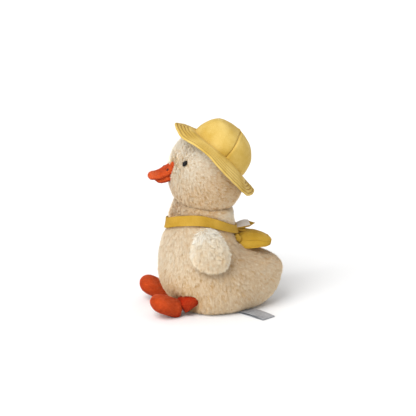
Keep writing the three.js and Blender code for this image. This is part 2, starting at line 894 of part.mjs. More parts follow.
// The space that a foot sweeps about its heel, with clearance
function footSweep(whole) {
  const grown = inset(whole, -legClearance);
  let swept = solid(new THREE.SphereGeometry(heelRadius + gap, footSides, footSides / 2))
    .translate([heel.x, heel.y, heel.z]);
  for (let step = 0; step <= ankleSteps; step += 1) {
    const swing = ankleSwingLow + ((ankleSwingHigh - ankleSwingLow) * step) / ankleSteps;
    const turned = grown.clone().translate(-heel.x, -heel.y, -heel.z);
    turned.rotateX(radians(-swing)).translate(heel.x, heel.y, heel.z);
    swept = swept.add(solid(turned));
  }
  return swept;
}

// Legs and feet
const legWhole = legForm();
const hipSewn = block(
  new THREE.Vector3(overrun, overrun, overrun),
  hip.clone().addScaledVector(legDirection.clone().normalize(), -hipSewnDepth - overrun / 2),
);
const ankleHole = solid(
  rod(footSewnRadius, 2 * heelRadius, heel, legDirection.clone().negate(), legSides),
);
const anklePad = solid(
  new THREE.SphereGeometry(footHalfThickness + ankleCrease, legSides, legSides / 2).translate(
    heel.x,
    heel.y,
    heel.z,
  ),
);
for (const [side, turn] of sides) {
  const whole = footForm(side === "left" ? leftFootPitch : rightFootPitch);
  const footOuter = solid(whole).subtract(floorCut);
  const footCover = footOuter.subtract(solid(inset(whole, suedeWall))).subtract(ankleHole);
  addPart(`${side}_foot_cover`, turn(footCover), "suede");
  addPart(`${side}_foot_stuffing`, turn(solid(inset(whole, suedeWall + gap))), "filling");
  const legBare = solid(legWhole).subtract(hipSewn).subtract(footSweep(whole));
  const legCover = legBare.subtract(solid(inset(legWhole, suedeWall)));
  const legFilling = solid(inset(legWhole, suedeWall + gap)).subtract(hipSewn).subtract(anklePad);
  addPart(`${side}_leg_cover`, turn(legCover), "suede");
  addPart(`${side}_leg_stuffing`, turn(legFilling), "filling");
}

// Hat panels: a front and a rear part of the crown, and a brim of two layers
function crownLiftAt(angle) {
  return crownSideLift * Math.sin(angle) ** 2;
}

function crownForm() {
  const rings = (depth) =>
    crownProfile(depth).map((row, index) =>
      Array.from({ length: crownSides }, (_, side) => {
        const angle = (side / crownSides) * 2 * Math.PI;
        const lift = crownLiftAt(angle) * (1 - crownRowShares[index][1]);
        return hatPoint(row.x, angle, row.y + lift);
      }),
    );
  return solid(ringLoft([...rings(0).reverse(), ...rings(cottonWall)]).applyMatrix4(hatPlacing));
}

// The space ahead of the seam over the crown, grown by a margin
function crownWedge(margin) {
  const size = 2 * (crownRadius + overrun);
  const halves = [1, -1].map((side) => {
    const half = new THREE.BoxGeometry(size, size, size);
    half.translate(0, -size / 2 + margin, 0);
    half.rotateZ(side * radians(90 - crownSeamTurn));
    return solid(half.applyMatrix4(hatPlacing));
  });
  return halves[0].intersect(halves[1]);
}

function brimDroopAt(angle) {
  const degrees = THREE.MathUtils.radToDeg(Math.abs(Math.atan2(Math.sin(angle), Math.cos(angle))));
  return rowAt(brimDroopShares, degrees)[1] * brimDroop;
}

function brimPanel(top, base) {
  const grid = (level) =>
    Array.from({ length: crownSides }, (_, side) => {
      const angle = (side / crownSides) * 2 * Math.PI;
      return Array.from({ length: brimSteps + 1 }, (_, step) => {
        const share = step / brimSteps;
        const radius = crownRadius - cottonWall + share * (brimWidth + cottonWall);
        const sag = brimDroopAt(angle) * share ** brimSagPower + gap;
        return hatPoint(radius, angle, level - sag + crownLiftAt(angle) * (1 - share));
      });
    });
  return sheet(grid(top), grid(base), true).applyMatrix4(hatPlacing);
}

const crown = crownForm();
addPart("hat_front_panel", crown.intersect(crownWedge(-gap / 2)), "cotton");
addPart("hat_rear_panel", crown.subtract(crownWedge(gap / 2)), "cotton");
addPart("hat_brim_upper", brimPanel(0, -brimLayer), "cotton");
addPart("hat_brim_lower", brimPanel(-brimLayer - gap, -2 * brimLayer - gap), "cotton");

// Bag: plan coordinates are across (X) and along its slope from the hinge
const bagPlacing = new THREE.Matrix4()
  .makeRotationX(radians(bagSlope))
  .setPosition(0, bagHingeSetback, bagHingeHeight);

function bagPlan(angle, share, inward) {
  const power = 2 / bagCornerPower;
  const round = (value) => Math.sign(value) * Math.abs(value) ** power;
  const across = share * (bagHalfWidth - inward) * round(Math.sin(angle));
  const along = bagLength / 2 - share * (bagLength / 2 - inward) * round(Math.cos(angle));
  return [across, along];
}

function bagHalfThicknessAt(along) {
  return rowAt(bagThicknessShares, along / bagLength)[1] * bagHalfThickness;
}

function bagRing(share, inward, levelAt) {
  return Array.from({ length: bagSides }, (_, side) => {
    const angle = ((side + 1 / 2) / bagSides) * 2 * Math.PI;
    const [across, along] = bagPlan(angle, share, inward);
    return new THREE.Vector3(across, along, levelAt(along, share));
  });
}

// A crowned panel of the bag, above its band for a side of 1 and below it for -1
function bagPanel(side) {
  const level = (depth) => (along, share) =>
    side * (bagHalfThicknessAt(along) + gap + depth + bagCrown * (1 - share * share));
  const under = bagRingShares.map((share) => bagRing(share, 0, level(0)));
  const over = bagRingShares.map((share) => bagRing(share, 0, level(cottonWall))).reverse();
  return ringLoft([...under, ...over]).applyMatrix4(bagPlacing);
}

function bagBand() {
  const grid = (inward) =>
    bagRing(1, inward, () => 0).map((point) => {
      const half = bagHalfThicknessAt(point.y);
      return [-1, 0, 1].map((level) => new THREE.Vector3(point.x, point.y, level * half));
    });
  return sheet(grid(0), grid(cottonWall), true).applyMatrix4(bagPlacing);
}

function bagPadding() {
  const inward = cottonWall + gap;
  const level = (side) => (along, share) =>
    side * (bagHalfThicknessAt(along) + bagCrown * (1 - share * share) - gap / 2);
  const under = bagRingShares.map((share) => bagRing(share, inward, level(-1)));
  const over = bagRingShares.map((share) => bagRing(share, inward, level(1))).reverse();
  return ringLoft([...under, ...over]).applyMatrix4(bagPlacing);
}

const bagClear = strapRoom.add(bodyGrown);
addPart("bag_front_panel", solid(bagPanel(1)).subtract(bagClear), "cotton");
addPart("bag_back_panel", solid(bagPanel(-1)).subtract(bagClear), "darkCotton");
addPart("bag_band", solid(bagBand()).subtract(bagClear), "cotton");
addPart("bag_padding", solid(bagPadding()).subtract(bagClear), "filling");

// Closing tab: it rises off the bag in a shallow arch
function tabGrid(width, start, length, level) {
  return Array.from({ length: tabSteps + 1 }, (_, step) => {
    const along = start + (length * step) / tabSteps;
    const arch = tabBend * Math.sin((along / tabLength) * Math.PI);
    return [-1, 1].map((side) => new THREE.Vector3((side * width) / 2, along, level + arch));
  });
}
const tabPlacing = new THREE.Matrix4()
  .makeRotationX(radians(tabSlope))
  .setPosition(0, tabSetback, tabHeight);
const tab = sheet(
  tabGrid(tabWidth, 0, tabLength, tabThickness),
  tabGrid(tabWidth, 0, tabLength, 0),
  false,
).applyMatrix4(tabPlacing);
const patchBase = tabThickness + gap;
const patch = sheet(
  tabGrid(tabWidth - 2 * patchInset, patchStart, patchLength, patchBase + patchThickness),
  tabGrid(tabWidth - 2 * patchInset, patchStart, patchLength, patchBase),
  false,
).applyMatrix4(tabPlacing);
addPart("closing_tab", solid(tab).subtract(bagClear), "cotton");
addPart("closing_tab_patch", patch, "loop");

// Care label: two bare leaves of one folded ribbon
const labelLow = new THREE.BoxGeometry(labelLength, labelWidth, labelLeaf);
labelLow.translate(labelLength / 2, 0, labelLeaf / 2);
const labelTop = labelLow.clone().translate(0, 0, labelLeaf + gap);
const labelFold = new THREE.BoxGeometry(2 * labelLeaf, labelWidth, 2 * labelLeaf + gap);
labelFold.translate(labelLength, 0, labelLeaf + gap / 2);
const label = geometryOf(solid(labelLow).add(solid(labelTop)).add(solid(labelFold)));
label.rotateZ(radians(labelTurn)).translate(labelRootSide, labelRootSetback, 0);
addPart("care_label", solid(label).subtract(bodyGrown), "label");

export default model;
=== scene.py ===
from math import atan2, copysign, cos, degrees, exp, hypot, pi, radians, sin, sqrt, tau

import bmesh
import bpy
import numpy as np
from mathutils import Matrix, Vector, noise
from mathutils.bvhtree import BVHTree
from mathutils.kdtree import KDTree


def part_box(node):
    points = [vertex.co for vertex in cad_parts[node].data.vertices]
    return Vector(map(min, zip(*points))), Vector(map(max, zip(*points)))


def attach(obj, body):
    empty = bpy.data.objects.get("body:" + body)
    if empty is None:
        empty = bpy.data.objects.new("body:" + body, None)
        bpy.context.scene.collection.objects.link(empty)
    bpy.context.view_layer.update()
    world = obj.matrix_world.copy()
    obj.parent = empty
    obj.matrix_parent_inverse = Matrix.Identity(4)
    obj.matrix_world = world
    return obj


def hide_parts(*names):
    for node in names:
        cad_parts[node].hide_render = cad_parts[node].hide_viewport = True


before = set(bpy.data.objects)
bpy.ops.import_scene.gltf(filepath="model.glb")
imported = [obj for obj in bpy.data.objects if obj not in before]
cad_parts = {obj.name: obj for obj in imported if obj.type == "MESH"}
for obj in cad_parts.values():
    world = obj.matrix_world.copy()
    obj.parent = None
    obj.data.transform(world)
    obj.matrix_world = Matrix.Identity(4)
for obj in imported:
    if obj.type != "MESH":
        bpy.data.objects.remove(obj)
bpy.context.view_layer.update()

MM = 0.001
MERGE = 0.01 * MM

# Camera: the photograph's own view, from a long lens
VIEW_TURN = radians(78)
VIEW_RISE = radians(17.5)
VIEW_TARGET = Vector((0, -0.0071, 0.1293))
VIEW_WIDTH = 0.524
LENS_MM = 400
SENSOR_MM = 36

# The two sides, and which way each lies along X
SIDES = {"left": 1, "right": -1}


def placed(x_mm, y_mm, z_mm, angle, axis):
    """A frame at a place, turned by degrees round an axis"""
    turn = Matrix.Rotation(radians(angle), 4, axis)
    return Matrix.Translation(Vector((x_mm, y_mm, z_mm)) * MM) @ turn


# Stuffed skins
SKIN_VOXEL = 4 * MM
SMALL_VOXEL = 2.4 * MM
SIM_FRAMES = 20
SIM_PRESSURE = 4
BODY_GIVE = 1.2 * MM
LIMB_GIVE = 0.8 * MM
BODY_GROW = 1.9 * MM
HEAD_GROW = 1.5 * MM
WING_GROW = -0.9 * MM
FOOT_GROW = 1.8 * MM
LEG_GROW = 2.5 * MM
# The seat sinks, less and less up to SEAT_HEIGHT, and lies flat, lower than any strand's root
SEAT_HEIGHT = 9 * MM
SEAT_SINK = 1.7 * MM
SEAT_LEVEL = 0.05 * MM
HIP = Vector((32, -36, 23)) * MM
HIP_RADIUS = 9 * MM
ANKLE = Vector((34.5, -59.5, 12.2)) * MM
ANKLE_RADIUS = 8.6 * MM
LEG_RADIUS = 10.2 * MM
LEG_SAG = 5 * MM
LEG_SAG_REACH = 11 * MM
LEG_MIDDLE = -49 * MM
LEG_LEVEL = 0.3 * MM
LEG_DENT = 6.8 * MM
LEG_DENT_REACH = 13 * MM
LEG_DENT_FROM = 25 * MM
LEG_DENT_BELOW = 6 * MM
FOOT_LEVEL = 0.2 * MM
WING_RISE = 7 * MM
WING_LEAN = 3.5 * MM
WING_NARROW = 0.16
WING_SHIFT = 1.2 * MM
NAPE = Vector((28, 28, 94)) * MM
NAPE_DENT = 4.5 * MM
NAPE_REACH = 14 * MM
CHEEK_OUT = 13 * MM
CHEEK_HEIGHT = 180 * MM
CHEEK_REACH_MM = (7, 9)
CHEEK_BULGE = 1.4 * MM

# Hat. A wave, here and below, is a size along the cloth and a height
HAT_FRAME = placed(0, 6.3, 200.4, -46, "X")
CROWN_RADIUS = 41.2 * MM
CROWN_HEIGHT = 39.6 * MM
CROWN_LIFT = 5.5 * MM
CROWN_LEAN = 2.2 * MM
CROWN_SEAM = radians(84)
CROWN_WALL = 1.3 * MM
# Place along the profile, then shares of the radius, the height and the forward lean
CROWN_SHARES = [
    (0.0, 1.0, 0.0, 0.0),
    (0.12, 0.985, 0.2, 0.05),
    (0.24, 0.945, 0.38, 0.15),
    (0.37, 0.88, 0.56, 0.45),
    (0.48, 0.79, 0.695, 0.8),
    (0.59, 0.68, 0.805, 1.0),
    (0.71, 0.535, 0.89, 1.0),
    (0.84, 0.34, 0.955, 0.6),
    (0.94, 0.14, 0.99, 0.15),
    (1.0, 0.0, 1.0, 0.0),
]
SEAM_TUCK = 1.5 * MM
SEAM_RIDGE = 0.8 * MM
SEAM_WIDTH = 1.3 * MM
CROWN_HEM = 0.04
CROWN_HEM_IN = 0.9 * MM
CROWN_HEM_DOWN = 1.6 * MM
CROWN_WAVES = ((17 * MM, 0.8 * MM), (7 * MM, 0.25 * MM))
BRIM_INNER = 39.4 * MM
BRIM_WIDTH = 27 * MM
BRIM_HALF = 2.3 * MM
BRIM_DEPTH = 2.1 * MM
BRIM_DROOP = 10 * MM
BRIM_POWER = 1.3
# Degrees from the front to the left, then the share of the droop and the added share of the width
BRIM_SHARES = [
    (-195, 0.5, 0.02),
    (-180, 0.15, 0.08),
    (-150, 0.5, 0.0),
    (-120, 0.8, 0.0),
    (-90, 0.76, 0.0),
    (-60, 0.5, 0.0),
    (-30, 1.0, -0.04),
    (-12, 1.0, -0.03),
    (0, 1.0, 0.03),
    (15, 1.2, 0.14),
    (30, 1.3, 0.15),
    (45, 0.8, 0.03),
    (60, 0.5, 0.0),
    (90, 0.72, 0.0),
    (120, 0.85, 0.0),
    (150, 0.9, -0.06),
    (165, 0.5, 0.02),
    (180, 0.15, 0.08),
    (195, 0.5, 0.0),
]
BRIM_ROWS = (3.0 * MM, 7.4 * MM, 11.8 * MM, 16.2 * MM)
BRIM_GROOVE = 1.5 * MM
BRIM_GROOVE_WIDTH = 1.4 * MM
BRIM_WAVE = (14 * MM, 0.9 * MM)
STITCH_PITCH = 3.1 * MM
STITCH_LENGTH = 2.7 * MM
STITCH_RADIUS = 0.48 * MM

# Strap
STRAP_AXIS = -6 * MM
FAR_OUT = 200 * MM
STRAP_WIDTH = 14 * MM
STRAP_HUG = 0.86
STRAP_EDGE = 0.07
STRAP_WAVES = ((16 * MM, 0.7 * MM), (6 * MM, 0.2 * MM))
STRAP_ABOVE = 2.6 * MM
STRAP_THICK = 1.9 * MM
STRAP_FRONT = 112.5 * MM
STRAP_RISE = 11 * MM
# Half turns from the front, then shares of the rise and of the width
STRAP_SHARES = [
    (-1.0, -0.9, 0.84),
    (-0.87, -0.95, 0.82),
    (-0.7, -1.0, 0.84),
    (-0.5, -0.95, 0.95),
    (-0.34, -0.82, 1.0),
    (-0.16, -0.36, 1.0),
    (0.0, 0.1, 1.0),
    (0.16, 0.86, 0.96),
    (0.34, 1.18, 0.96),
    (0.5, 0.76, 0.93),
    (0.7, -0.2, 0.8),
    (0.87, -0.8, 0.8),
    (1.0, -0.9, 0.84),
]

# Bag and its tab
BAG_FRAME = placed(0, 25, 91, -9.6, "X")
BAG_LENGTH = 48 * MM
BAG_HALF_WIDTH = 21 * MM
BAG_HALF = 6 * MM
BAG_CROWN = 2.2 * MM
BAG_SADDLE = 3.8 * MM
BAG_SINK = 3 * MM
BAG_CORNER = 15 * MM
BAG_CREASE = 0.8 * MM
BAG_CREASE_REACH = 11 * MM
BAG_PUCKER = 0.35 * MM
BAG_PUCKER_SIZE = 1.6 * MM
BAG_PANEL = 0.4
BAG_WAVES = ((13 * MM, 1.1 * MM), (6 * MM, 0.3 * MM))
BAG_POWER = 2 / 3
BAG_SHARES = [(0, 0.6), (0.15, 0.86), (0.33, 1.0), (0.6, 0.82), (0.8, 0.53), (1, 0.35)]
BAG_WELT = 0.75 * MM
BAG_PLUMP = 1.9 * MM
TAB_FRAME = placed(0, 25.5, 101.6, 3, "X")
TAB_LENGTH = 28 * MM
TAB_WIDTH = 12 * MM
TAB_BEND = 2.4 * MM
TAB_CURL = 2 * MM
TAB_TWIST = 0.45
TAB_DROOP = 1.8 * MM
FOLD_CENTRE = Vector((19, 26.6, 94)) * MM
FOLD_HALF = Vector((4.6, 4.2, 5.0)) * MM
FOLD_CREASE = 0.8 * MM
FOLD_WAVES = ((5 * MM, 0.9 * MM), (7 * MM, 0.9 * MM))

# Beak
BEAK_ROOT = 49 * MM
BEAK_TIP = 84 * MM
JAW_TIP = 75 * MM
BEAK_MOUTH = 175 * MM
BEAK_HALF_WIDTH = 14 * MM
BEAK_RISE = 19.5 * MM
BEAK_CHIN = 8.5 * MM
BEAK_CORNER = 17 * MM
BEAK_CORNER_AT = 0.19
BEAK_CORNER_REACH = 0.11
BEAK_WAVE = (8 * MM, 0.7 * MM)
# Share of the length, then shares of the rise above and below the mouth and of the half width
UPPER_SHARES = [
    (0.0, 1.04, 0.22, 1.0),
    (0.2, 0.8, 0.14, 0.98),
    (0.42, 0.56, -0.03, 0.9),
    (0.65, 0.36, -0.13, 0.8),
    (0.84, 0.33, -0.14, 0.72),
    (0.95, 0.22, -0.08, 0.52),
    (1.0, 0.06, 0.02, 0.02),
]
LOWER_SHARES = [
    (0.0, 0.9, -0.3, 0.84),
    (0.3, 0.8, -0.66, 0.8),
    (0.65, 0.3, -0.94, 0.7),
    (0.87, -0.2, -0.76, 0.5),
    (1.0, -0.5, -0.52, 0.02),
]

# Eyes and nostrils
EYE_SIZE = (2.9 * MM, 4.6 * MM, 2.9 * MM)
EYE_LEAN = -30
EYE_CORNER = 0.42
NOSTRIL_COLUMNS = (-1.4, -0.7, 0, 0.7, 1.4)
NOSTRIL_ROWS = (-0.7, 0.7)

# Label on the floor: one ribbon folded back on itself
LABEL_FRAME = placed(30, 31.5, 0, 33.5, "Z")
LABEL_LENGTH = 46 * MM
LABEL_WIDTH = 21 * MM
LABEL_FOLD = 0.55 * MM
LABEL_WAVE = 1.6 * MM
LABEL_THICK = 0.25 * MM
LABEL_LEVEL = 0.7 * MM
LABEL_GAP = 0.2 * MM

# How deep the pile may reach into the pieces that press it down
HAT_PRESS = 1.4 * MM
FOLD_PRESS = 1.4 * MM
BAG_PRESS = 2.4 * MM
EYE_PRESS = 0.7 * MM
UPPER_BEAK_PRESS = 2.2 * MM
LOWER_BEAK_PRESS = 2.8 * MM
# How far off a piece still shortens the pile and paints shade on it, the lowest root and tip, and a piece's
# most strands
REACH = 9 * MM
ROOT_LEVEL = 0.1 * MM
TIP_LEVEL = 0.15 * MM
PIECE_STRANDS = 60000
# Strands: their shortest, how unevenly they are cut, wide, stand, part and turn, and the flecked share
SHORTEST = 0.8 * MM
CUT_RANGE = (0.78, 1.12)
WIDTH_RANGE = (0.75, 1.25)
STAND_RANGE = (0.15, 1.35)
STRAY = 0.28
TWIST = 0.7
FLECKED = 0.2

# Light: the white room, and each window's strength, spread in degrees and direction
ROOM_LIGHT = 0.63
WINDOWS = {
    "window_key": (2.2, 40, (0.6, -0.6, 0.95)),
    "window_low": (0.6, 9, (0.29, -0.9, 0.22)),
}


def colour(code):
    """An sRGB hex code as linear values with alpha"""
    parts = [int(code[i : i + 2], 16) / 255 for i in (1, 3, 5)]
    return [c / 12.92 if c <= 0.04045 else ((c + 0.055) / 1.055) ** 2.4 for c in parts] + [1]


def add(tree, kind, inputs=None, stops=None, **settings):
    """A node with its settings, its links or values, and its colour stops"""
    node = tree.nodes.new(f"ShaderNode{kind}")
    for name, value in settings.items():
        setattr(node, name, value)
    for name, value in (inputs or {}).items():
        if isinstance(value, bpy.types.NodeSocket):
            tree.links.new(value, node.inputs[name])
        else:
            node.inputs[name].default_value = value
    for index, (place, code) in enumerate(stops or []):
        bands = node.color_ramp.elements
        stop = bands[index] if index < 2 else bands.new(place)
        stop.position = place
        stop.color = colour(code)
    return node


def material(name, roughness, sheen=0.0, sheen_spread=0.5, shine=0.5):
    """A material with its tree and its shader"""
    made = bpy.data.materials.new(name)
    made.use_nodes = True
    tree = made.node_tree
    shader = tree.nodes["Principled BSDF"]
    shader.inputs["Roughness"].default_value = roughness
    shader.inputs["Sheen Weight"].default_value = sheen
    shader.inputs["Sheen Roughness"].default_value = sheen_spread
    shader.inputs["Specular IOR Level"].default_value = shine
    return made, tree, shader


def reckon(tree, operation, *values):
    """The result of a sum or product of numbers and sockets"""
    return add(tree, "Math", dict(enumerate(values)), operation=operation).outputs[0]


def dress(tree, shader, shade, height=None, strength=0.0, depth=0.0):
    """Gives a shader its colour and, where there is a height, its relief"""
    tree.links.new(shade.outputs["Color"], shader.inputs["Base Color"])
    if height is not None:
        bump = add(tree, "Bump", {"Height": height, "Strength": strength, "Distance": depth})
        tree.links.new(bump.outputs["Normal"], shader.inputs["Normal"])


def blotches(tree, space, scale, detail=2, roughness=0.5):
    """Soft noise over a space"""
    inputs = {"Vector": space, "Scale": scale, "Detail": detail, "Roughness": roughness}
    return add(tree, "TexNoise", inputs).outputs["Fac"]


def plush_pile(name, tips, roots, sheen):
    """Cut polyester pile: u of its map runs from dark to pale and carries painted light and painted shade
    besides the pile's own tone, v from root to tip
    """
    made, tree, shader = material(name, 0.85, sheen, 0.5, 0.2)
    place = add(tree, "UVMap", uv_map="OFBake")
    parts = add(tree, "SeparateXYZ", {"Vector": place.outputs["UV"]})
    tip = add(tree, "ValToRGB", {"Fac": parts.outputs["X"]}, stops=tips)
    root = add(tree, "ValToRGB", {"Fac": parts.outputs["X"]}, stops=roots)
    inputs = {"Fac": parts.outputs["Y"], "Color1": root.outputs["Color"], "Color2": tip.outputs["Color"]}
    dress(tree, shader, add(tree, "MixRGB", inputs))
    return made


def mottled(name, dark, light, grain_mm, streak, depth, roughness, sheen, shine=0.1):
    """Brushed or knitted cloth: two shades in soft streaks, with a nap that catches light"""
    made, tree, shader = material(name, roughness, sheen, 0.4, shine)
    space = add(tree, "TexCoord").outputs["Object"]
    drawn = add(tree, "Mapping", {"Vector": space, "Scale": streak}).outputs["Vector"]
    grain = blotches(tree, drawn, 1 / (grain_mm * MM), 4, 0.65)
    both = reckon(tree, "ADD", grain, blotches(tree, space, 60))
    half = reckon(tree, "MULTIPLY", both, 0.5)
    shade = add(tree, "ValToRGB", {"Fac": half}, stops=[(0.36, dark), (0.64, light)])
    dress(tree, shader, shade, grain, 0.8, depth * MM)
    return made


def cotton_twill(name, dark, light, rib_mm=0.55):
    """Woven cotton twill: slanted ribs of yarn, drawn about twice as coarse as real so they show"""
    made, tree, shader = material(name, 0.8, 0.04, 0.4, 0.1)
    place = add(tree, "UVMap", uv_map="weave")
    period = {"Vector": place.outputs["UV"], "Scale": 0.444 / (rib_mm * MM), "Distortion": 0.6, "Detail": 2}
    ribs = add(tree, "TexWave", period, bands_direction="DIAGONAL").outputs["Fac"]
    space = add(tree, "TexCoord").outputs["Object"]
    slub = blotches(tree, space, 900)
    fade = reckon(tree, "MULTIPLY", blotches(tree, space, 45, 3), 0.45)
    yarn = reckon(tree, "MULTIPLY_ADD", ribs, 0.12, fade)
    worn = reckon(tree, "MULTIPLY_ADD", slub, 0.13, yarn)
    shade = add(tree, "ValToRGB", {"Fac": worn}, stops=[(0.19, dark), (0.51, light)])
    dress(tree, shader, shade, reckon(tree, "ADD", ribs, slub), 0.3, 0.15 * MM)
    return made


def plain(name, code, roughness, shine=0.5):
    """A small smooth part, with a faint change of tone from its making"""
    made, tree, shader = material(name, roughness, shine=shine)
    tone = blotches(tree, add(tree, "TexCoord").outputs["Object"], 700)
    level = add(tree, "MapRange", {"Value": tone, "To Min": 0.82, "To Max": 1.18}).outputs["Result"]
    inputs = {"Hue": 0.5, "Saturation": 1, "Value": level, "Color": colour(code)}
    dress(tree, shader, add(tree, "HueSaturation", inputs))
    return made


# Place along the band, then its colour: the two ends first
TIPS = [(0, "#cc9a60"), (1, "#fffdf7"), (0.25, "#e6c99e"), (0.5, "#f3e7d1"), (0.75, "#fbf4e5")]
ROOTS = [(0, "#ad783e"), (1, "#f9f1dc"), (0.25, "#d9ae6e"), (0.5, "#e9ca98"), (0.75, "#f2dfbc")]
WING_TIPS = [(0, "#cf9a5e"), (1, "#fffefa"), (0.25, "#eac997"), (0.5, "#f6e8ce"), (0.75, "#fcf5e4")]
WING_ROOTS = [(0, "#b07a3e"), (1, "#faf1da"), (0.25, "#dcb070"), (0.5, "#eccb96"), (0.75, "#f4e0bd")]
pile_cream = plush_pile("plush_pile_cream", TIPS, ROOTS, 0.25)
pile_pale = plush_pile("plush_pile_pale", WING_TIPS, WING_ROOTS, 0.25)
NAP_TIPS = [(0, "#92280a"), (1, "#f29b70"), (0.3, "#cd4216"), (0.6, "#e95e28")]
NAP_ROOTS = [(0, "#661c08"), (1, "#d85f36"), (0.3, "#9a3112"), (0.6, "#bc451e")]
nap_orange = plush_pile("suede_nap_orange", NAP_TIPS, NAP_ROOTS, 0.03)
backing = mottled("plush_backing_knit", "#e0c294", "#f4e2c2", 1.2, (1, 1, 1), 0.3, 0.95, 0.2)
suede_foot = mottled("brushed_suede_foot", "#a4310b", "#df5a20", 1.6, (1, 0.5, 1), 0.5, 0.9, 0.04)
# The legs wear the feet's suede darkened: painted shade from the body above them
leg_suede_painted_shade = mottled("brushed_suede_leg", "#9a1c08", "#d2300c", 1.6, (1, 0.5, 1), 0.5, 0.9, 0.03)
suede_beak = mottled("brushed_suede_beak", "#cb4617", "#ec6e33", 1.4, (1, 0.35, 1), 0.4, 0.9, 0.05)
twill_hat = cotton_twill("cotton_twill_hat", "#b9922d", "#e6ca7b")
twill_strap = cotton_twill("cotton_twill_strap", "#a07819", "#c8a145")
twill_bag = cotton_twill("cotton_twill_bag", "#aa7f19", "#d8b046")
thread_yellow = plain("polyester_thread_yellow", "#9c6a18", 0.6)
thread_brown = plain("cotton_thread_brown", "#3c150c", 0.8)
eye_black = plain("moulded_acrylic_black", "#020202", 0.05, 0.25)
washer_white = plain("moulded_nylon_white", "#e8e6df", 0.5)
ribbon_white = mottled("woven_ribbon_white", "#cdc2b8", "#fbf7f2", 0.9, (1, 3, 1), 0.2, 0.8, 0.2)
# The label's satin is grey, darker than its white cloth: partly its dark print, partly painted shade from
# lying beside the duck
satin_grey = mottled("satin_ribbon_grey", "#7f8186", "#b4b5b8", 3.0, (1, 1, 1), 0.1, 0.38, 0.3, 0.5)


def rows_at(table, at):
    """Smooth values between the rows of a table whose first column rises"""
    last = len(table) - 1
    low = 0
    while low < last - 1 and table[low + 1][0] < at:
        low += 1
    span = table[low + 1][0] - table[low][0]
    t = min(max((at - table[low][0]) / span, 0), 1)

    def slope(row, column):
        before, after = table[max(row - 1, 0)], table[min(row + 1, last)]
        return (after[column] - before[column]) / (after[0] - before[0])

    values = []
    for column in range(1, len(table[0])):
        start, end = table[low][column], table[low + 1][column]
        first = slope(low, column) * span - (end - start)
        second = (end - start) - slope(low + 1, column) * span
        values.append(start + t * (end - start) + t * (1 - t) * (first * (1 - t) + second * t))
    return values


def waver(point, *waves):
    """Soft unevenness of cloth: heights that change over sizes"""
    return sum(noise.noise(point / size) * height for size, height in waves)


def only(obj):
    """Selects one piece alone"""
    bpy.ops.object.select_all(action="DESELECT")
    obj.select_set(True)
    bpy.context.view_layer.objects.active = obj


def apply(obj, kind, **settings):
    """Adds a modifier and applies it"""
    only(obj)
    modifier = obj.modifiers.new(kind.title(), kind)
    for name, value in settings.items():
        setattr(modifier, name, value)
    bpy.ops.object.modifier_apply(modifier=modifier.name)


def tidy(obj, outward=True):
    """Merges doubled corners, turns the faces outwards and shades them smooth"""
    only(obj)
    bpy.ops.object.mode_set(mode="EDIT")
    bpy.ops.mesh.select_all(action="SELECT")
    bpy.ops.mesh.remove_doubles(threshold=MERGE)
    if outward:
        bpy.ops.mesh.normals_make_consistent(inside=False)
    bpy.ops.object.mode_set(mode="OBJECT")
    bpy.ops.object.shade_smooth()


def linked(name, data):
    """An object of this data, in the scene"""
    obj = bpy.data.objects.new(name, data)
    bpy.context.scene.collection.objects.link(obj)
    return obj


def primitive(adder, name, **settings):
    """A new simple piece, under a name"""
    bpy.ops.object.select_all(action="DESELECT")
    adder(**settings)
    obj = bpy.context.object
    obj.name = name
    return obj


def finish(obj, look, body, slot, *nodes):
    """Gives a piece its material, its body and the CAD nodes that it stands for"""
    obj.data.materials.clear()
    obj.data.materials.append(look)
    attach(obj, body)
    if nodes:
        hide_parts(*nodes)
    return obj


def shaped_grid(name, columns, rows, place, weave=(1, 1), outward=True):
    """A grid whose corners are moved to place(u, v), with its cloth's own map in metres"""
    grid = {"x_subdivisions": columns, "y_subdivisions": rows, "size": 1}
    obj = primitive(bpy.ops.mesh.primitive_grid_add, name, **grid)
    mesh = obj.data
    mesh.name = name
    where = places(obj)[:, :2] + 0.5
    mesh.uv_layers[0].name = "weave"
    corners = np.zeros(len(mesh.loops), int)
    mesh.loops.foreach_get("vertex_index", corners)
    mesh.uv_layers["weave"].data.foreach_set("uv", (where[corners] * np.array(weave)).ravel())
    put(obj, [place(float(u), float(v)) for u, v in where])
    tidy(obj, outward)
    return obj


def tree_of(obj, spare=0.0, painted_shade=0.0):
    """A search tree over a piece, its box, how far pile laps over it and how much painted shade it puts on
    pile near it
    """
    corners = [vertex.co.copy() for vertex in obj.data.vertices]
    tree = BVHTree.FromPolygons(corners, [tuple(face.vertices) for face in obj.data.polygons])
    box = np.array(corners)
    return tree, box.min(0), box.max(0), spare, painted_shade


def skin_of(name, nodes, voxel, extra=()):
    """A closed skin round copies of CAD solids, and round balls that fill their hollows"""
    work = bmesh.new()
    for node in nodes:
        work.from_mesh(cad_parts[node].data)
    for centre, radius in extra:
        place = Matrix.Translation(centre)
        bmesh.ops.create_icosphere(work, subdivisions=3, radius=radius, matrix=place)
    bmesh.ops.remove_doubles(work, verts=work.verts, dist=MERGE)
    mesh = bpy.data.meshes.new(name)
    work.to_mesh(mesh)
    work.free()
    obj = linked(name, mesh)
    apply(obj, "REMESH", mode="VOXEL", voxel_size=voxel)
    return obj


def places(obj, kind="co"):
    """Where a piece's vertices are, or their normals"""
    flat = np.zeros(len(obj.data.vertices) * 3)
    obj.data.vertices.foreach_get(kind, flat)
    return flat.reshape(-1, 3)


def put(obj, points):
    """Moves a piece's vertices to these places"""
    obj.data.vertices.foreach_set("co", np.asarray(points, float).ravel())
    obj.data.update()


def ramp(values, low, high):
    """A soft step from 0 at low to 1 at high"""
    share = np.clip((values - low) / (high - low), 0, 1)
    return share * share * (3 - 2 * share)


def swell(obj, distance):
    """Moves a skin along its normals"""
    put(obj, places(obj) + places(obj, "normal") * distance)


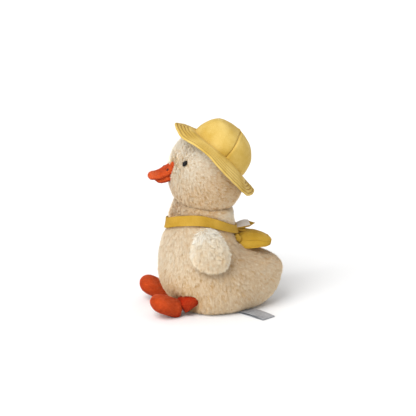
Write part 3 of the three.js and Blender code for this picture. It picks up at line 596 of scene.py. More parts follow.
def inflate(skins, cap):
    """Presses the filling against the skins with a cloth simulation, and caps how far they move"""
    starts = [places(skin) for skin in skins]
    for skin in skins:
        cloth = skin.modifiers.new("Cloth", "CLOTH")
        cloth.settings.use_pressure = True
        cloth.settings.uniform_pressure_force = SIM_PRESSURE
        cloth.settings.effector_weights.gravity = 0
        cloth.point_cache.frame_start = 1
        cloth.point_cache.frame_end = SIM_FRAMES
    for step in range(1, SIM_FRAMES + 1):
        bpy.context.scene.frame_set(step)
    for skin, start in zip(skins, starts):
        only(skin)
        bpy.ops.object.modifier_apply(modifier="Cloth")
        moved = places(skin) - start
        far = np.linalg.norm(moved, axis=1, keepdims=True)
        put(skin, start + moved * np.minimum(1, cap / np.maximum(far, MERGE)))
    bpy.context.scene.frame_set(1)


def settle(skin, points, level):
    """Puts a skin's vertices in place, none lower than a level above the floor"""
    points[:, 2] = np.maximum(points[:, 2], level)
    put(skin, points)


def soften(skin, rounds, grow, level=None):
    """Smooths the voxels away, grows the skin back and keeps it above the floor"""
    apply(skin, "SMOOTH", factor=0.5, iterations=rounds)
    apply(skin, "SUBSURF", levels=1, render_levels=1)
    swell(skin, grow)
    if level is not None:
        settle(skin, places(skin), level)
    only(skin)
    bpy.ops.object.shade_smooth()


def balls(side, *ends):
    """Balls at places given for the left side, on a side"""
    return [(Vector((SIDES[side] * end.x, end.y, end.z)), radius) for end, radius in ends]


def draw_up(skin, turn):
    """Draws a wing's top up to the strap, narrower and closer to the body"""
    points = places(skin)
    low, high = points[:, 2].min(), points[:, 2].max()
    up = ramp(points[:, 2], (low + high) / 2, high)
    middle = points[:, 1].mean()
    points[:, 1] = middle + (points[:, 1] - middle) * (1 - WING_NARROW * up)
    points[:, 2] += WING_RISE * up + WING_SHIFT
    points[:, 0] -= turn * WING_LEAN * up
    put(skin, points)


def press_body(points):
    """Sinks the seat, and dents the body beside the legs and at the nape"""
    points[:, 2] -= np.clip(1 - points[:, 2] / SEAT_HEIGHT, 0, 1) * SEAT_SINK
    beside = np.hypot(points[:, 1] - HIP.y, points[:, 2] - HIP.z + LEG_DENT_BELOW)
    dent = LEG_DENT * np.exp(-((beside / LEG_DENT_REACH) ** 2)) * (np.abs(points[:, 0]) > LEG_DENT_FROM)
    points[:, 0] -= np.sign(points[:, 0]) * dent
    nape = np.abs(points) - np.array(NAPE)
    dent = NAPE_DENT * np.exp(-(nape**2).sum(1) / NAPE_REACH**2) * (points[:, 1] > 0)
    points -= dent[:, None] * np.sign(points) * np.array((1, 0, 0.5))
    return points


# Stuffed skins of the duck: balls fill a leg's two ends, so that it turns inside hip and heel
hips = [ball for side in SIDES for ball in balls(side, (HIP, HIP_RADIUS))]
body_skin = skin_of("body_skin", ["body_stuffing", "pellet_bag"], SKIN_VOXEL, hips)
head_skin = skin_of("head_skin", ["head_stuffing"], SKIN_VOXEL)
wing_skins = {s: skin_of(f"{s}_wing_skin", [f"{s}_wing_stuffing"], SKIN_VOXEL) for s in SIDES}
foot_skins = {s: skin_of(f"{s}_foot_skin", [f"{s}_foot_stuffing"], SMALL_VOXEL) for s in SIDES}
leg_skins = {}
for side in SIDES:
    leg_ends = balls(side, (HIP, LEG_RADIUS), (ANKLE, ANKLE_RADIUS))
    leg_skins[side] = skin_of(f"{side}_leg_skin", [f"{side}_leg_stuffing"], SMALL_VOXEL, leg_ends)
inflate([body_skin, head_skin], BODY_GIVE)
limb_skins = [*wing_skins.values(), *foot_skins.values(), *leg_skins.values()]
inflate(limb_skins, LIMB_GIVE)
soften(body_skin, 8, BODY_GROW)
settle(body_skin, press_body(places(body_skin)), SEAT_LEVEL)
soften(head_skin, 8, HEAD_GROW)
points = places(head_skin)
cheek_width, cheek_height = CHEEK_REACH_MM
cheek_x = (np.abs(points[:, 0]) - CHEEK_OUT) / cheek_width
cheek = np.hypot(cheek_x, (points[:, 2] - CHEEK_HEIGHT) / cheek_height) / MM
points[:, 1] -= CHEEK_BULGE * np.exp(-(cheek**2)) * (points[:, 1] < 0)
put(head_skin, points)
for side in SIDES:
    soften(wing_skins[side], 8, WING_GROW)
    draw_up(wing_skins[side], SIDES[side])
    soften(foot_skins[side], 5, FOOT_GROW, FOOT_LEVEL)
    soften(leg_skins[side], 4, LEG_GROW)
    points = places(leg_skins[side])
    points[:, 2] -= LEG_SAG * np.exp(-(((points[:, 1] - LEG_MIDDLE) / LEG_SAG_REACH) ** 2))
    settle(leg_skins[side], points, LEG_LEVEL)
    for skins, look, limb, slot in (
        (wing_skins, backing, "wing", "pale_plush"),
        (foot_skins, suede_foot, "foot", "suede"),
        (leg_skins, leg_suede_painted_shade, "leg", "suede"),
    ):
        body = f"{side}_{limb}"
        finish(skins[side], look, body, slot, f"{body}_cover", f"{body}_stuffing")
finish(body_skin, backing, "duck", "plush", "body_cover", "body_stuffing", "pellet_bag")
finish(head_skin, backing, "duck", "plush", "head_cover", "head_stuffing")


# Hat
def crown_lift(angle):
    """The crown's rim rises over the two sides of the head"""
    return CROWN_LIFT * sin(angle) ** 2


def crown_panel(name, start, span, ridge):
    """One panel of the crown from the brim to the middle of the top, its edges tucked in"""

    def place(u, v):
        angle = start + u * span
        radius, height, lean = rows_at(CROWN_SHARES, v)
        from_seam = min(u, 1 - u) * span * CROWN_RADIUS * max(radius, 0.3)
        tuck = SEAM_TUCK * exp(-((from_seam / SEAM_WIDTH) ** 2))
        tuck -= ridge * exp(-(((from_seam - 1.9 * SEAM_WIDTH) / SEAM_WIDTH) ** 2))
        tuck *= min(1, radius * 6)
        base = max(0, 1 - v / CROWN_HEM)
        out = radius * CROWN_RADIUS - tuck * (1 - 0.6 * height) - base * CROWN_HEM_IN
        lift = crown_lift(angle) * (1 - height)
        up = height * CROWN_HEIGHT - tuck * height + lift - base * CROWN_HEM_DOWN
        local = Vector((out * sin(angle), -out * cos(angle) - lean * CROWN_LEAN, up))
        local += local.normalized() * waver(local, *CROWN_WAVES)
        return HAT_FRAME @ local

    columns = int(60 * span / pi) + 8
    panel = shaped_grid(name, columns, 44, place, (span * CROWN_RADIUS, 1.4 * CROWN_RADIUS))
    apply(panel, "SOLIDIFY", thickness=CROWN_WALL, offset=-1)
    return panel


def brim_middle(angle, share):
    """A place halfway through the brim: share 0 is its inner edge and 1 its hem"""
    droop, wider = rows_at(BRIM_SHARES, degrees(atan2(sin(angle), cos(angle))))
    droop *= BRIM_DROOP
    radius = BRIM_INNER + share * BRIM_WIDTH * (1 + wider)
    level = crown_lift(angle) * (1 - share) - BRIM_DEPTH - droop * max(share, 0) ** BRIM_POWER
    return HAT_FRAME @ Vector((radius * sin(angle), -radius * cos(angle), level))


def brim_normal(angle, share):
    """The direction straight up from the brim's cloth"""
    step = 0.02
    out = brim_middle(angle, share + step) - brim_middle(angle, share - step)
    along = brim_middle(angle + step, share) - brim_middle(angle - step, share)
    return along.cross(out).normalized() * -1


def brim_half(share):
    """Half the brim's thickness: round at the hem, drawn in along the rows of stitches"""
    from_hem = (1 - share) * BRIM_WIDTH
    half = BRIM_HALF * sqrt(max(0, 1 - max(0, 1 - from_hem / (1.3 * BRIM_HALF)) ** 2))
    for row in BRIM_ROWS:
        half -= BRIM_GROOVE * exp(-(((from_hem - row) / BRIM_GROOVE_WIDTH) ** 2))
    return max(half, 0)


def brim_waver(point, share):
    """The brim's unevenness, more towards the hem"""
    return HAT_FRAME.to_3x3() @ Vector((0, 0, waver(point, BRIM_WAVE) * share))


def brim_place(u, v):
    """A place on the brim: from the inner edge over the top to the hem, and back underneath"""
    angle = u * tau
    share = (1 - abs(2 * v - 1)) ** 0.8
    side = 1 if v < 0.5 else -1
    point = brim_middle(angle, share)
    point += brim_normal(angle, share) * side * brim_half(share)
    return point + brim_waver(point, share)


def stitch_row(name, spots):
    """A row of thread stitches, each lying at a place, along a direction and on a normal"""
    one = primitive(bpy.ops.mesh.primitive_uv_sphere_add, "stitch", segments=6, ring_count=4, radius=1)
    corner = places(one) * np.array((STITCH_RADIUS, STITCH_RADIUS * 0.8, STITCH_LENGTH / 2))
    faces = [tuple(p.vertices) for p in one.data.polygons]
    bpy.data.objects.remove(one)
    corners, sides = [], []
    for index, (spot, along, up) in enumerate(spots):
        across = up.cross(along).normalized()
        axes = np.array((across, up, along))
        corners.append(corner @ axes + np.array(spot))
        sides += [tuple(i + index * len(corner) for i in face) for face in faces]
    mesh = bpy.data.meshes.new(name)
    mesh.from_pydata(np.concatenate(corners).tolist(), [], sides)
    row = linked(name, mesh)
    tidy(row)
    return row


def brim_stitches(row, side):
    """A row of stitches round the brim, on its upper side or underneath"""
    share = 1 - BRIM_ROWS[row] / BRIM_WIDTH
    count = int(tau * (BRIM_INNER + share * BRIM_WIDTH) / STITCH_PITCH)
    spots = []
    for index in range(count):
        angle = (index + 0.3 * row) / count * tau
        up = brim_normal(angle, share) * side
        along = (brim_middle(angle + 0.01, share) - brim_middle(angle - 0.01, share)).normalized()
        spot = brim_middle(angle, share) + up * (brim_half(share) + 0.1 * MM)
        spots.append((spot + brim_waver(spot, share), along, up))
    return stitch_row(f"brim_stitches_{row}_{'top' if side > 0 else 'under'}", spots)


front_panel = crown_panel("crown_front", -CROWN_SEAM, 2 * CROWN_SEAM, 0)
finish(front_panel, twill_hat, "hat", "cotton", "hat_front_panel")
rear_panel = crown_panel("crown_rear", CROWN_SEAM, 2 * (pi - CROWN_SEAM), SEAM_RIDGE)
finish(rear_panel, twill_hat, "hat", "cotton", "hat_rear_panel")
hat_brim = shaped_grid("hat_brim", 160, 96, brim_place, (tau * 55 * MM, 2 * BRIM_WIDTH))
finish(hat_brim, twill_hat, "hat", "cotton", "hat_brim_upper", "hat_brim_lower")
for row in range(len(BRIM_ROWS)):
    for side in (1, -1):
        finish(brim_stitches(row, side), thread_yellow, "hat", "cotton")


# Strap: a folded band laid round the foot of the neck, over the pile
body_wall = tree_of(body_skin)[0]


def strap_place(u, v):
    """A place on the band: up its outer side, and back down its inner side"""
    angle = u * tau
    across = 1 - abs(2 * v - 1)
    side = 1 if v < 0.5 else -1
    turn = degrees(atan2(sin(angle), cos(angle))) / 180
    rise, wide = rows_at(STRAP_SHARES, turn)
    centre = STRAP_FRONT + rise * STRAP_RISE
    outward = Vector((sin(angle), -cos(angle), 0))
    axis = Vector((0, STRAP_AXIS, centre + STRAP_WIDTH * wide * (across - 0.5) * STRAP_HUG))
    hit = body_wall.ray_cast(axis + outward * FAR_OUT, -outward)[0]
    edge = max(0, 1 - min(across, 1 - across) / STRAP_EDGE)
    thick = STRAP_THICK / 2 * sqrt(max(0, 1 - edge**2)) * (1 + 0.25 * (edge > 0))
    point = hit + outward * (STRAP_ABOVE + STRAP_THICK / 2 + side * thick)
    point.z = centre + STRAP_WIDTH * wide * (across - 0.5)
    return point + outward * waver(point, *STRAP_WAVES)


strap_piece = shaped_grid("strap_fold", 180, 48, strap_place, (0.3, 2 * STRAP_WIDTH))
finish(strap_piece, twill_strap, "duck", "cotton", "strap_band")


# Bag
def bag_half(along):
    """Half the bag's thickness at a place along it"""
    return rows_at(BAG_SHARES, along / BAG_LENGTH)[0] * BAG_HALF


def squared(value, power):
    """A sine or cosine drawn towards a square outline"""
    return copysign(abs(value) ** power, value)


def bag_plan(angle, share, grow=0.0):
    """A place in the bag's plan: share 0 is its middle and 1 its outline"""
    across = share * (BAG_HALF_WIDTH + grow) * squared(sin(angle), BAG_POWER)
    along = BAG_LENGTH / 2 - share * (BAG_LENGTH / 2 + grow) * squared(cos(angle), BAG_POWER)
    return across, along


def bag_place(across, along, level):
    """The bag lies like a saddle, its top lower at the front, creased from its corners and its end"""
    share = along / BAG_LENGTH
    level -= BAG_SADDLE * (across / BAG_HALF_WIDTH) ** 2 * (1 - share)
    if level > 0:
        level -= BAG_SINK * max(0, 1 - share / 0.6) * min(1, level / (3 * MM))
    reach = hypot(abs(across) - BAG_CORNER, along)
    ray = atan2(along, abs(across) - BAG_CORNER)
    fade = exp(-reach / BAG_CREASE_REACH)
    level += BAG_CREASE * cos(10 * ray) * fade * reach / (reach + 2 * MM)
    level += BAG_PUCKER * cos(across / BAG_PUCKER_SIZE) * max(0, (share - 0.75) / 0.25)
    point = Vector((across, along, level))
    point.z += waver(point, *BAG_WAVES)
    return BAG_FRAME @ point


def shell_place(u, v):
    """A place on the bag: a crowned panel above and below, and a band between that bulges a little"""
    angle = u * tau
    side = 1 if v < 0.5 else -1
    part = min(v, 1 - v)
    if part <= BAG_PANEL:
        share = (part / BAG_PANEL) ** 0.8
        across, along = bag_plan(angle, share)
        level = bag_half(along) + BAG_PLUMP * (1 - share**6) + BAG_CROWN * (1 - share * share)
    else:
        rise = (0.5 - part) / (0.5 - BAG_PANEL)
        across, along = bag_plan(angle, 1, MM * (1 - rise * rise))
        level = bag_half(along) * rise
    return bag_place(across, along, side * level)


def bag_welt(name, side):
    """The turned seam along an edge of the bag"""

    def place(u, v):
        angle, round_ = u * tau, v * tau
        across, along = bag_plan(angle, 1, BAG_WELT * (0.4 + cos(round_)))
        level = side * bag_half(along) + BAG_WELT * 0.8 * sin(round_)
        return bag_place(across, along, level)

    return shaped_grid(name, 120, 10, place, (0.14, 0.005))


BAG_NODES = ("bag_front_panel", "bag_back_panel", "bag_band", "bag_padding")
bag_piece = shaped_grid("bag_shell", 120, 64, shell_place, (0.14, 0.1))
finish(bag_piece, twill_bag, "bag", "dark_cotton", *BAG_NODES)
finish(bag_welt("bag_welt_upper", 1), twill_bag, "bag", "cotton")
finish(bag_welt("bag_welt_lower", -1), twill_bag, "bag", "dark_cotton")


def strap_fold(side):
    """The strap's end, folded under the front corner of the bag"""

    def place(u, v):
        round_, rise = u * tau, (v - 0.5) * pi
        girth = cos(rise) ** 0.6
        x = SIDES[side] * FOLD_HALF.x * squared(sin(round_), 0.7) * girth
        y = FOLD_HALF.y * squared(cos(round_), 0.7) * girth
        z = FOLD_HALF.z * sin(rise)
        crease = FOLD_CREASE * cos(z / FOLD_HALF.z * 5)
        centre = Vector((SIDES[side] * FOLD_CENTRE.x, FOLD_CENTRE.y, FOLD_CENTRE.z))
        point = centre + Vector((x, y + crease - z * 0.25, z))
        return point + Vector((0, *[waver(point, wave) for wave in FOLD_WAVES]))

    return shaped_grid(f"{side}_strap_fold", 40, 28, place, (0.024, 0.02))


folds = [finish(strap_fold(side), twill_strap, "bag", "cotton") for side in SIDES]


def tab_strip(name, width, start, length, level, thick, point_at, bend=TAB_BEND):
    """A strip along the tab's arch, its end drawn to a point"""

    def place(u, v):
        along = start + v * length
        share = along / TAB_LENGTH
        arch = bend * sin(share**1.3 * pi) + TAB_CURL * max(0, (share - 0.7) / 0.3) ** 1.5
        taper = 1 - max(0, (v - point_at) / (1 - point_at)) ** 1.2 if point_at < 1 else 1
        across = (u - 0.5) * width * taper
        twist = across * TAB_TWIST * sin(share * pi)
        return TAB_FRAME @ Vector((across, along, level + arch - twist))

    strip = shaped_grid(name, 12, 30, place, (width, length))
    apply(strip, "SOLIDIFY", thickness=thick, offset=-1)
    apply(strip, "BEVEL", width=0.3 * MM, segments=2)
    only(strip)
    bpy.ops.object.shade_smooth()
    return strip


tab_piece = tab_strip("tab_strip", TAB_WIDTH, 1.5 * MM, 26.5 * MM, 1.4 * MM, 1.4 * MM, 0.66)
finish(tab_piece, twill_strap, "tab", "cotton", "closing_tab")
under_piece = tab_strip("tab_under", TAB_WIDTH, 1.5 * MM, 14 * MM, 0.3 * MM, 1.2 * MM, 1, -TAB_DROOP)
finish(under_piece, twill_strap, "tab", "cotton")
patch_piece = tab_strip("tab_ribbon", TAB_WIDTH - 1.2 * MM, 3 * MM, 18 * MM, 2.5 * MM, 1.0 * MM, 1)
finish(patch_piece, ribbon_white, "tab", "loop", "closing_tab_patch")


# Label
def label_place(u, v):
    """A place on the ribbon: out underneath to the fold, and back above it"""
    side = 1 if v > 0.5 else -1
    reach = 1 - abs(2 * v - 1)
    out = reach * LABEL_LENGTH
    curl = sqrt(max(0, 1 - max(0, 1 - (LABEL_LENGTH - out) / (2 * LABEL_FOLD)) ** 2))
    lift = LABEL_LEVEL + side * LABEL_FOLD * curl
    lift += LABEL_WAVE * sin(reach * pi) if side > 0 else 0
    return LABEL_FRAME @ Vector((out, (u - 0.5) * LABEL_WIDTH, lift + LABEL_GAP))


label_piece = shaped_grid("label_ribbon", 10, 90, label_place, outward=False)
apply(label_piece, "SOLIDIFY", thickness=LABEL_THICK, offset=0)
finish(label_piece, satin_grey, "label", "label_satin", "care_label")


# Beak
def beak_half(name, node, table, tip, rise, corner):
    """A flattened pouch from inside the face to its tip, its root corners drawn up"""

    def place(u, v):
        angle = u * tau
        share = sin(v * pi / 2)
        top, under, width = rows_at(table, share)
        x, z = cos(angle), sin(angle)
        height = BEAK_MOUTH + rise * ((top + under) / 2 + (top - under) / 2 * z)
        near_root = exp(-(((share - BEAK_CORNER_AT) / BEAK_CORNER_REACH) ** 2))
        height += corner * abs(x) ** 3 * (1 if x > 0 else -0.6) * near_root * max(z, 0) ** 0.3
        point = Vector((x * width * BEAK_HALF_WIDTH, -BEAK_ROOT - share * (tip - BEAK_ROOT), height))
        return point + Vector((0, 0, waver(point, BEAK_WAVE)))

    return finish(shaped_grid(name, 72, 48, place), suede_beak, "duck", "beak_suede", node)


upper_beak = beak_half("beak_top", "beak_upper", UPPER_SHARES, BEAK_TIP, BEAK_RISE, BEAK_CORNER)
lower_beak = beak_half("beak_chin", "beak_lower", LOWER_SHARES, JAW_TIP, BEAK_CHIN, 0)


# Eyes: glossy domes on the CAD eye's own axis, and a knot of thread for each nostril
def eye(side):
    """A stretched ball, narrow at its two corners, whose top is the CAD eye's outermost place"""
    points = places(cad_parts[f"{side}_eye"])
    middle = places(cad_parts["head_stuffing"]).mean(0)
    far = np.linalg.norm(points - middle, axis=1)
    tip, root = Vector(points[far.argmax()]), Vector(points[far.argmin()])
    out = (tip - root).normalized()
    ball = {"segments": 40, "ring_count": 24, "radius": 1}
    dome = primitive(bpy.ops.mesh.primitive_uv_sphere_add, f"{side}_eye_dome", **ball)
    turn = out.to_track_quat("Z", "Y").to_matrix().to_4x4()
    place = Matrix.Translation(tip - out * EYE_SIZE[2]) @ turn
    lean = Matrix.Rotation(radians(SIDES[side] * EYE_LEAN), 4, "Z")
    for corner in dome.data.vertices:
        corner.co.x *= 1 - EYE_CORNER * abs(corner.co.y) ** 1.6
    dome.data.transform(place @ lean @ Matrix.Diagonal((*EYE_SIZE, 1)))
    tidy(dome)
    return finish(dome, eye_black, "duck", "eye_plastic", f"{side}_eye")


def nostril(side):
    """Two rows of short stitches where the CAD knot lies, pressed onto the beak"""
    low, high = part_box(f"{side}_nostril_knot")
    centre = (Vector(low) + Vector(high)) / 2 + Vector((0, 0, MM))
    tree = tree_of(upper_beak)[0]
    across = tree.find_nearest(centre)[1].cross(Vector((0, -1, 0))).normalized()
    spots = []
    for shift, run in ((column, row) for column in NOSTRIL_COLUMNS for row in NOSTRIL_ROWS):
        spot, up = tree.find_nearest(centre + Vector((0, run, 0)) * MM + across * shift * MM)[:2]
        spots.append((spot + up * 0.7 * MM, across.cross(up).normalized(), up))
    knot = stitch_row(f"{side}_nostril_thread", spots)
    return finish(knot, thread_brown, "duck", "thread", f"{side}_nostril_knot")


eyes = [eye(side) for side in SIDES]
nostrils = [nostril(side) for side in SIDES]
for side in SIDES:
    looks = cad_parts[f"{side}_eye_washer"].data.materials
    looks.clear()
    looks.append(washer_white)


# Pile: strands that stand on the skins, combed and drawn into tufts
def scatter(skin, per_mm2, rng):
    """Places on a skin, spread evenly by area, with its normals there"""
    mesh = skin.data
    mesh.calc_loop_triangles()
    faces = np.zeros(len(mesh.loop_triangles) * 3, int)
    mesh.loop_triangles.foreach_get("vertices", faces)
    faces = faces.reshape(-1, 3)
    points, normals = places(skin), places(skin, "normal")
    edges = points[faces[:, 1:]] - points[faces[:, :1]]
    area = np.linalg.norm(np.cross(edges[:, 0], edges[:, 1]), axis=1) / 2
    count = int(area.sum() / MM**2 * per_mm2)
    face = rng.choice(len(faces), count, p=area / area.sum())
    a, b = rng.random((2, count))
    over = a + b > 1
    a[over], b[over] = 1 - a[over], 1 - b[over]
    weight = np.stack((1 - a - b, a, b), 1)[:, :, None]
    spots = (points[faces[face]] * weight).sum(1)
    normal = (normals[faces[face]] * weight).sum(1)
    return spots, unit(normal)


def within(tree, spot):
    """Whether a place is inside a closed piece: a line ahead meets its walls an odd number of times"""
    ahead = Vector((0.02, -0.97, 0.23)).normalized()
    walls = 0
    hit = tree.ray_cast(spot, ahead)[0]
    while hit is not None and walls < 9:
        walls += 1
        hit = tree.ray_cast(hit + ahead * 1e-6, ahead)[0]
    return walls % 2 == 1


def room_at(points, trees):
    """How far each place is from the nearest other piece, below zero inside one, and the painted shade that
    nearby pieces put on it
    """
    room = np.full(len(points), REACH)
    shade = np.zeros(len(points))
    for tree, low, high, spare, painted_shade in trees:
        near = np.all((points > low - REACH) & (points < high + REACH), axis=1)
        for index in np.nonzero(near)[0]:
            spot = Vector(points[index])
            hit, normal, _, distance = tree.find_nearest(spot, REACH)
            if hit is not None:
                inside = (spot - hit).dot(normal) < 0
                # the wall nearest to a place beside a sharp rim can face away from it
                if inside and spare > 0:
                    inside = within(tree, spot)
                signed = -distance if inside else distance
                room[index] = min(room[index], signed + spare)
                # painted shade: pile near another piece is darkened, the more the closer it lies
                shade[index] = max(shade[index], painted_shade * (1 - min(distance / REACH, 1)) ** 1.5)
    return room, shade


def unit(vectors):
    """Vectors drawn to a length of one"""
    return vectors / np.maximum(np.linalg.norm(vectors, axis=1, keepdims=True), 1e-12)


def strand_mesh(name, roots, middles, tips, across, widths, tint, normals):
    """Tapered blades of a four-sided foot and a three-sided tip, in one mesh"""
    count = len(roots)
    corners = np.empty((count, 5, 3))
    wide = across * widths[:, None]
    corners[:, 0] = roots + wide * 0.5
    corners[:, 1] = roots - wide * 0.5
    corners[:, 2] = middles - wide * 0.42
    corners[:, 3] = middles + wide * 0.42
    corners[:, 4] = tips
    order = np.arange(count)[:, None] * 5 + np.array((0, 1, 2, 3, 3, 2, 4))
    mesh = bpy.data.meshes.new(name)
    mesh.vertices.add(count * 5)
    mesh.vertices.foreach_set("co", corners.ravel())
    mesh.loops.add(count * 7)
    mesh.loops.foreach_set("vertex_index", order.ravel())
    mesh.polygons.add(count * 2)
    starts = (np.arange(count)[:, None] * 7 + np.array((0, 4))).ravel()
    mesh.polygons.foreach_set("loop_start", starts)
    mesh.polygons.foreach_set("use_smooth", np.ones(count * 2, bool))
    layer = mesh.uv_layers.new(name="OFBake")
    # each strand has a narrow strip of the map: u is its tone with painted light and shade, and v runs from
    # root to tip
    left = np.array((1, -1, -1, 1, 1, -1, 0)) * 0.012
    height = np.array((0.01, 0.01, 0.55, 0.55, 0.55, 0.55, 0.99))
    uv = np.empty((count, 7, 2))
    uv[:, :, 0] = np.clip(tint[:, None], 0.02, 0.98) + left
    uv[:, :, 1] = height
    layer.data.foreach_set("uv", uv.ravel())
    mesh.update()
    mesh.validate()
    mesh.normals_split_custom_set_from_vertices(np.repeat(normals, 5, axis=0).tolist())
    return linked(name, mesh)


def pile(
    name, skin, look, body, slot, per_mm2, length, lean, comb, tint, trees, seed,
    width=0.3 * MM, clump_mm2=3.4, draw=0.5, bare=0.4 * MM, fleck=0.0,
):
    """Covers a skin with strands: length, lean, combing and tint may change over it"""
    rng = np.random.default_rng(seed)
    roots, normals = scatter(skin, per_mm2, rng)
    room, painted_near_shade = room_at(roots, trees)
    stay = (room > bare) & (roots[:, 2] > ROOT_LEVEL)
    roots, normals, room, painted_near_shade = [part[stay] for part in (roots, normals, room, painted_near_shade)]
    count = len(roots)
    flow = comb(roots, normals)
    flow = unit(flow - normals * (flow * normals).sum(1, keepdims=True))
    stray = rng.normal(0, 1, (count, 3))
    flow = unit(flow + STRAY * (stray - normals * (stray * normals).sum(1, keepdims=True)))
    tall = length(roots) if callable(length) else np.full(count, length)
    tall = tall * rng.uniform(*CUT_RANGE, count)
    tall = np.minimum(tall, np.maximum(room * 1.25, SHORTEST))
    stand = lean + rng.normal(0, 0.1, count)
    clumps = rng.choice(count, max(1, int(count / (per_mm2 * clump_mm2))), replace=False)
    finder = KDTree(len(clumps))
    for index, clump in enumerate(clumps):
        finder.insert(Vector(roots[clump]), index)
    finder.balance()
    nearest = np.array([finder.find(Vector(root))[1] for root in roots])
    leader = clumps[nearest]
    clump_tint = rng.normal(0, 0.05, len(clumps))
    clump_tint -= fleck * (rng.random(len(clumps)) < FLECKED)
    clump_stand = rng.normal(0, 0.08, len(clumps))
    clump_tall = rng.normal(1, 0.07, len(clumps))
    stand = np.clip(stand + clump_stand[nearest], *STAND_RANGE)
    tall = tall * clump_tall[nearest]
    early, late = stand * 0.75, np.minimum(stand * 1.2, 1.5)

    def direction(angle):
        return normals * np.cos(angle)[:, None] + flow * np.sin(angle)[:, None]

    middles = roots + direction(early) * tall[:, None] * 0.5
    tips = middles + direction(late) * tall[:, None] * 0.5
    pull = (draw * rng.uniform(0.5, 1, count))[:, None]
    tips = tips + (tips[leader] - tips) * pull
    middles = middles + (middles[leader] - middles) * pull * 0.35
    for spots in (middles, tips):
        spots[:, 2] = np.maximum(spots[:, 2], TIP_LEVEL)
    twist = rng.uniform(-TWIST, TWIST, count)[:, None]
    across = unit(unit(np.cross(normals, flow)) * np.cos(twist) + normals * np.sin(twist))
    along = unit(tips - roots)
    soft = unit(normals - along * (normals * along).sum(1, keepdims=True) * 0.7 + across * twist * 0.3)
    # u of each strand: the tint's painted light and shade, less the painted shade of nearby pieces, plus
    # tone that differs at random by tuft and strand
    shade = tint(roots, normals) - painted_near_shade + clump_tint[nearest] + rng.normal(0, 0.045, count)
    widths = width * rng.uniform(*WIDTH_RANGE, count)
    order = np.argsort(np.arctan2(roots[:, 0], roots[:, 1]))
    for number, start in enumerate(range(0, count, PIECE_STRANDS)):
        part = order[start : start + PIECE_STRANDS]
        parts = [values[part] for values in (roots, middles, tips, across, widths, shade, soft)]
        finish(strand_mesh(f"{name}_{number + 1}", *parts), look, body, slot)


def body_comb(points, normals):
    """Down the body and backwards, level round the neck, and to the rear on the tail"""
    neck = ramp(points[:, 2], 0.100, 0.125)[:, None]
    tail = ramp(points[:, 1], 0.025, 0.07)[:, None]
    down = np.array((0, 0.35, -1.0))
    level = np.array((0, 1.0, -0.15))
    rear = np.array((0, 1.0, -0.55))
    flow = down + (rear - down) * tail
    return flow + (level - flow) * neck


def head_comb(points, normals):
    """Away from the beak and backwards, and down over the cheeks"""
    away = points - np.array((0, -0.08, 0.186))
    low = ramp(-points[:, 2], -0.215, -0.18)[:, None]
    return away * 9 + np.array((0, 0.4, 0.05)) + low * np.array((0, -0.1, -0.5))


def head_length(points):
    """Shorter round the beak"""
    return (3.6 + 2.0 * ramp(points[:, 1], -0.056, -0.036)) * MM


def wing_comb(points, normals):
    """Down, and spreading to the wing's rim"""
    rim = points - np.array((0, -0.018, 0.104))
    rim[:, 0] = 0
    return rim * 12 + np.array((0, 0.1, -0.5))


def body_tint(points, normals):
    """Pale on the chest, the tail and the nape, and darker low down in front and at the front of the neck:
    painted light and painted shade
    """
    neck = ramp(points[:, 2], 0.108, 0.128)
    tail = ramp(points[:, 1], 0.0, 0.08)
    low = ramp(-points[:, 2], -0.075, -0.015)
    chest = ramp(-points[:, 1], 0.01, 0.06)
    rear = ramp(points[:, 1], -0.02, 0.03)
    painted_neck_shade = 0.06 * neck * (1 - rear)
    pale = 0.15 * chest * (1 - low) + 0.04 * tail + 0.32 * neck * rear
    return 0.38 + pale - painted_neck_shade - 0.22 * low * chest


def head_tint(points, normals):
    """Pale on the face and on top: painted light"""
    face = ramp(-points[:, 1] + (points[:, 2] - 0.18) * 1.2, -0.01, 0.075)
    top = ramp(points[:, 2] - points[:, 1] * 0.5, 0.185, 0.24)
    return 0.34 + 0.32 * face + 0.2 * top


def wing_tint(points, normals):
    """Darker in the middle, pale at the rim and the top: painted shade and painted light"""
    middle = np.array((0, -0.016, 0.086))
    out = np.linalg.norm((points - middle)[:, 1:] / np.array((0.028, 0.03)), axis=1)
    upper = ramp(points[:, 2], 0.07, 0.11)
    return 0.5 + 0.26 * ramp(out, 0.5, 1.0) + 0.24 * upper


# A tree's third setting is the painted shade it puts on nearby pile: under the brim, by the wings and legs,
# and between the parts
hat_trees = [tree_of(panel, HAT_PRESS) for panel in (front_panel, rear_panel)]
hat_trees += [tree_of(hat_brim, HAT_PRESS, 0.55)]
eye_trees = [tree_of(dome, EYE_PRESS) for dome in eyes]
beak_trees = [tree_of(upper_beak, UPPER_BEAK_PRESS), tree_of(lower_beak, LOWER_BEAK_PRESS)]
nostril_trees = [tree_of(knot) for knot in nostrils]
wing_trees = [tree_of(skin, painted_shade=0.3) for skin in wing_skins.values()]
leg_trees = [tree_of(skin, painted_shade=0.2) for skin in [*leg_skins.values(), *foot_skins.values()]]
body_tree, head_tree = tree_of(body_skin, painted_shade=0.2), tree_of(head_skin, painted_shade=0.16)
strap_tree, bag_tree = tree_of(strap_piece, painted_shade=0.1), tree_of(bag_piece, BAG_PRESS, 0.15)

near_body = [*wing_trees, *leg_trees, head_tree, strap_tree, bag_tree, tree_of(label_piece)]
near_body += [tree_of(fold, FOLD_PRESS) for fold in folds]
near_head = [*hat_trees, *eye_trees, *beak_trees, body_tree]
near_wings = [tree_of(body_skin), tree_of(strap_piece)]

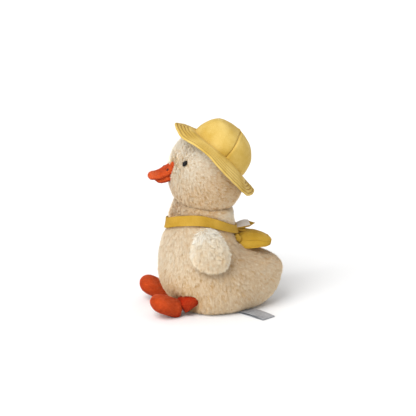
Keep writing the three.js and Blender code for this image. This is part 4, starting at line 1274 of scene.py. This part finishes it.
pile(
    "body_pile", body_skin, pile_cream, "duck", "plush", 4.4, 6.2 * MM, 1.0, body_comb, body_tint,
    near_body, 11, fleck=0.1,
)
pile(
    "head_pile", head_skin, pile_cream, "duck", "plush", 4.6, head_length, 0.9, head_comb, head_tint,
    near_head, 12, fleck=0.16,
)
for seed, side in enumerate(SIDES, 13):
    pile(
        f"{side}_wing_pile", wing_skins[side], pile_pale, f"{side}_wing", "pale_plush", 4.8, 7.6 * MM, 0.9,
        wing_comb, wing_tint, near_wings, seed, fleck=0.12,
    )


# Nap: the same strands, short and close, on the feet, the legs and the beak
def nap_comb(points, normals):
    return np.array((0, 0.8, -0.5)) + 0 * points


# paler where the nap faces up: painted light
def nap_tint(points, normals):
    return 0.54 + 0.12 * normals[:, 2]


def beak_nap_tint(points, normals):
    """Streaked, paler at the tip, and paler where it faces up: painted light"""
    streaks = np.sin(points[:, 1] * 2600 + points[:, 2] * 900) * np.sin(points[:, 2] * 2100)
    return 0.48 + 0.12 * normals[:, 2] + 0.24 * ramp(-points[:, 1], 0.066, 0.084) + 0.07 * streaks


# Darker than the feet's nap: painted shade under the body; paler where it faces up: painted light
def leg_nap_painted_shade_tint(points, normals):
    return 0.32 + 0.1 * normals[:, 2]


NAP = {
    "per_mm2": 6.0, "length": 1.3 * MM, "lean": 1.15, "comb": nap_comb, "tint": nap_tint, "trees": [],
    "width": 0.24 * MM, "clump_mm2": 3.0, "bare": -1.0,
}
LEG_NAP = NAP | {"tint": leg_nap_painted_shade_tint}
BEAK_NAP = NAP | {"trees": nostril_trees, "bare": 0.3 * MM, "tint": beak_nap_tint}
for seed, side in enumerate(SIDES, 21):
    pile(f"{side}_foot_nap", foot_skins[side], nap_orange, f"{side}_foot", "suede", seed=seed, **NAP)
    pile(f"{side}_leg_nap", leg_skins[side], nap_orange, f"{side}_leg", "suede", seed=seed + 2, **LEG_NAP)
pile("beak_top_nap", upper_beak, nap_orange, "duck", "beak_suede", seed=25, **BEAK_NAP)
pile("beak_chin_nap", lower_beak, nap_orange, "duck", "beak_suede", seed=26, **BEAK_NAP)


# Floor, lights and camera
def studio():
    """White paper under the duck, a white room and two windows"""
    floor = primitive(bpy.ops.mesh.primitive_plane_add, "studio_floor", size=30)
    made, _, shader = material("floor_paper_white", 0.9)
    shader.inputs["Base Color"].default_value = colour("#fafafa")
    floor.data.materials.append(made)
    world = bpy.data.worlds.new("studio_white")
    bpy.context.scene.world = world
    world.use_nodes = True
    sky = world.node_tree.nodes["Background"]
    sky.inputs["Color"].default_value = colour("#ffffff")
    sky.inputs["Strength"].default_value = ROOM_LIGHT
    for name, (strength, spread, aim) in WINDOWS.items():
        lamp = bpy.data.lights.new(name, "SUN")
        lamp.energy = strength
        lamp.angle = radians(spread)
        linked(name, lamp).rotation_euler = Vector(aim).to_track_quat("Z", "Y").to_euler()


def camera():
    """The photograph's view"""
    lens = bpy.data.cameras.new("long_lens")
    lens.lens = LENS_MM
    lens.sensor_width = SENSOR_MM
    lens.clip_start, lens.clip_end = 0.05, 50
    level = cos(VIEW_RISE)
    back = Vector((sin(VIEW_TURN) * level, -cos(VIEW_TURN) * level, sin(VIEW_RISE)))
    eye_point = linked("long_lens", lens)
    eye_point.location = VIEW_TARGET + back * VIEW_WIDTH * LENS_MM / SENSOR_MM
    eye_point.rotation_euler = back.to_track_quat("Z", "Y").to_euler()
    bpy.context.scene.camera = eye_point


studio()
camera()
bpy.context.scene.view_settings.view_transform = "Standard"
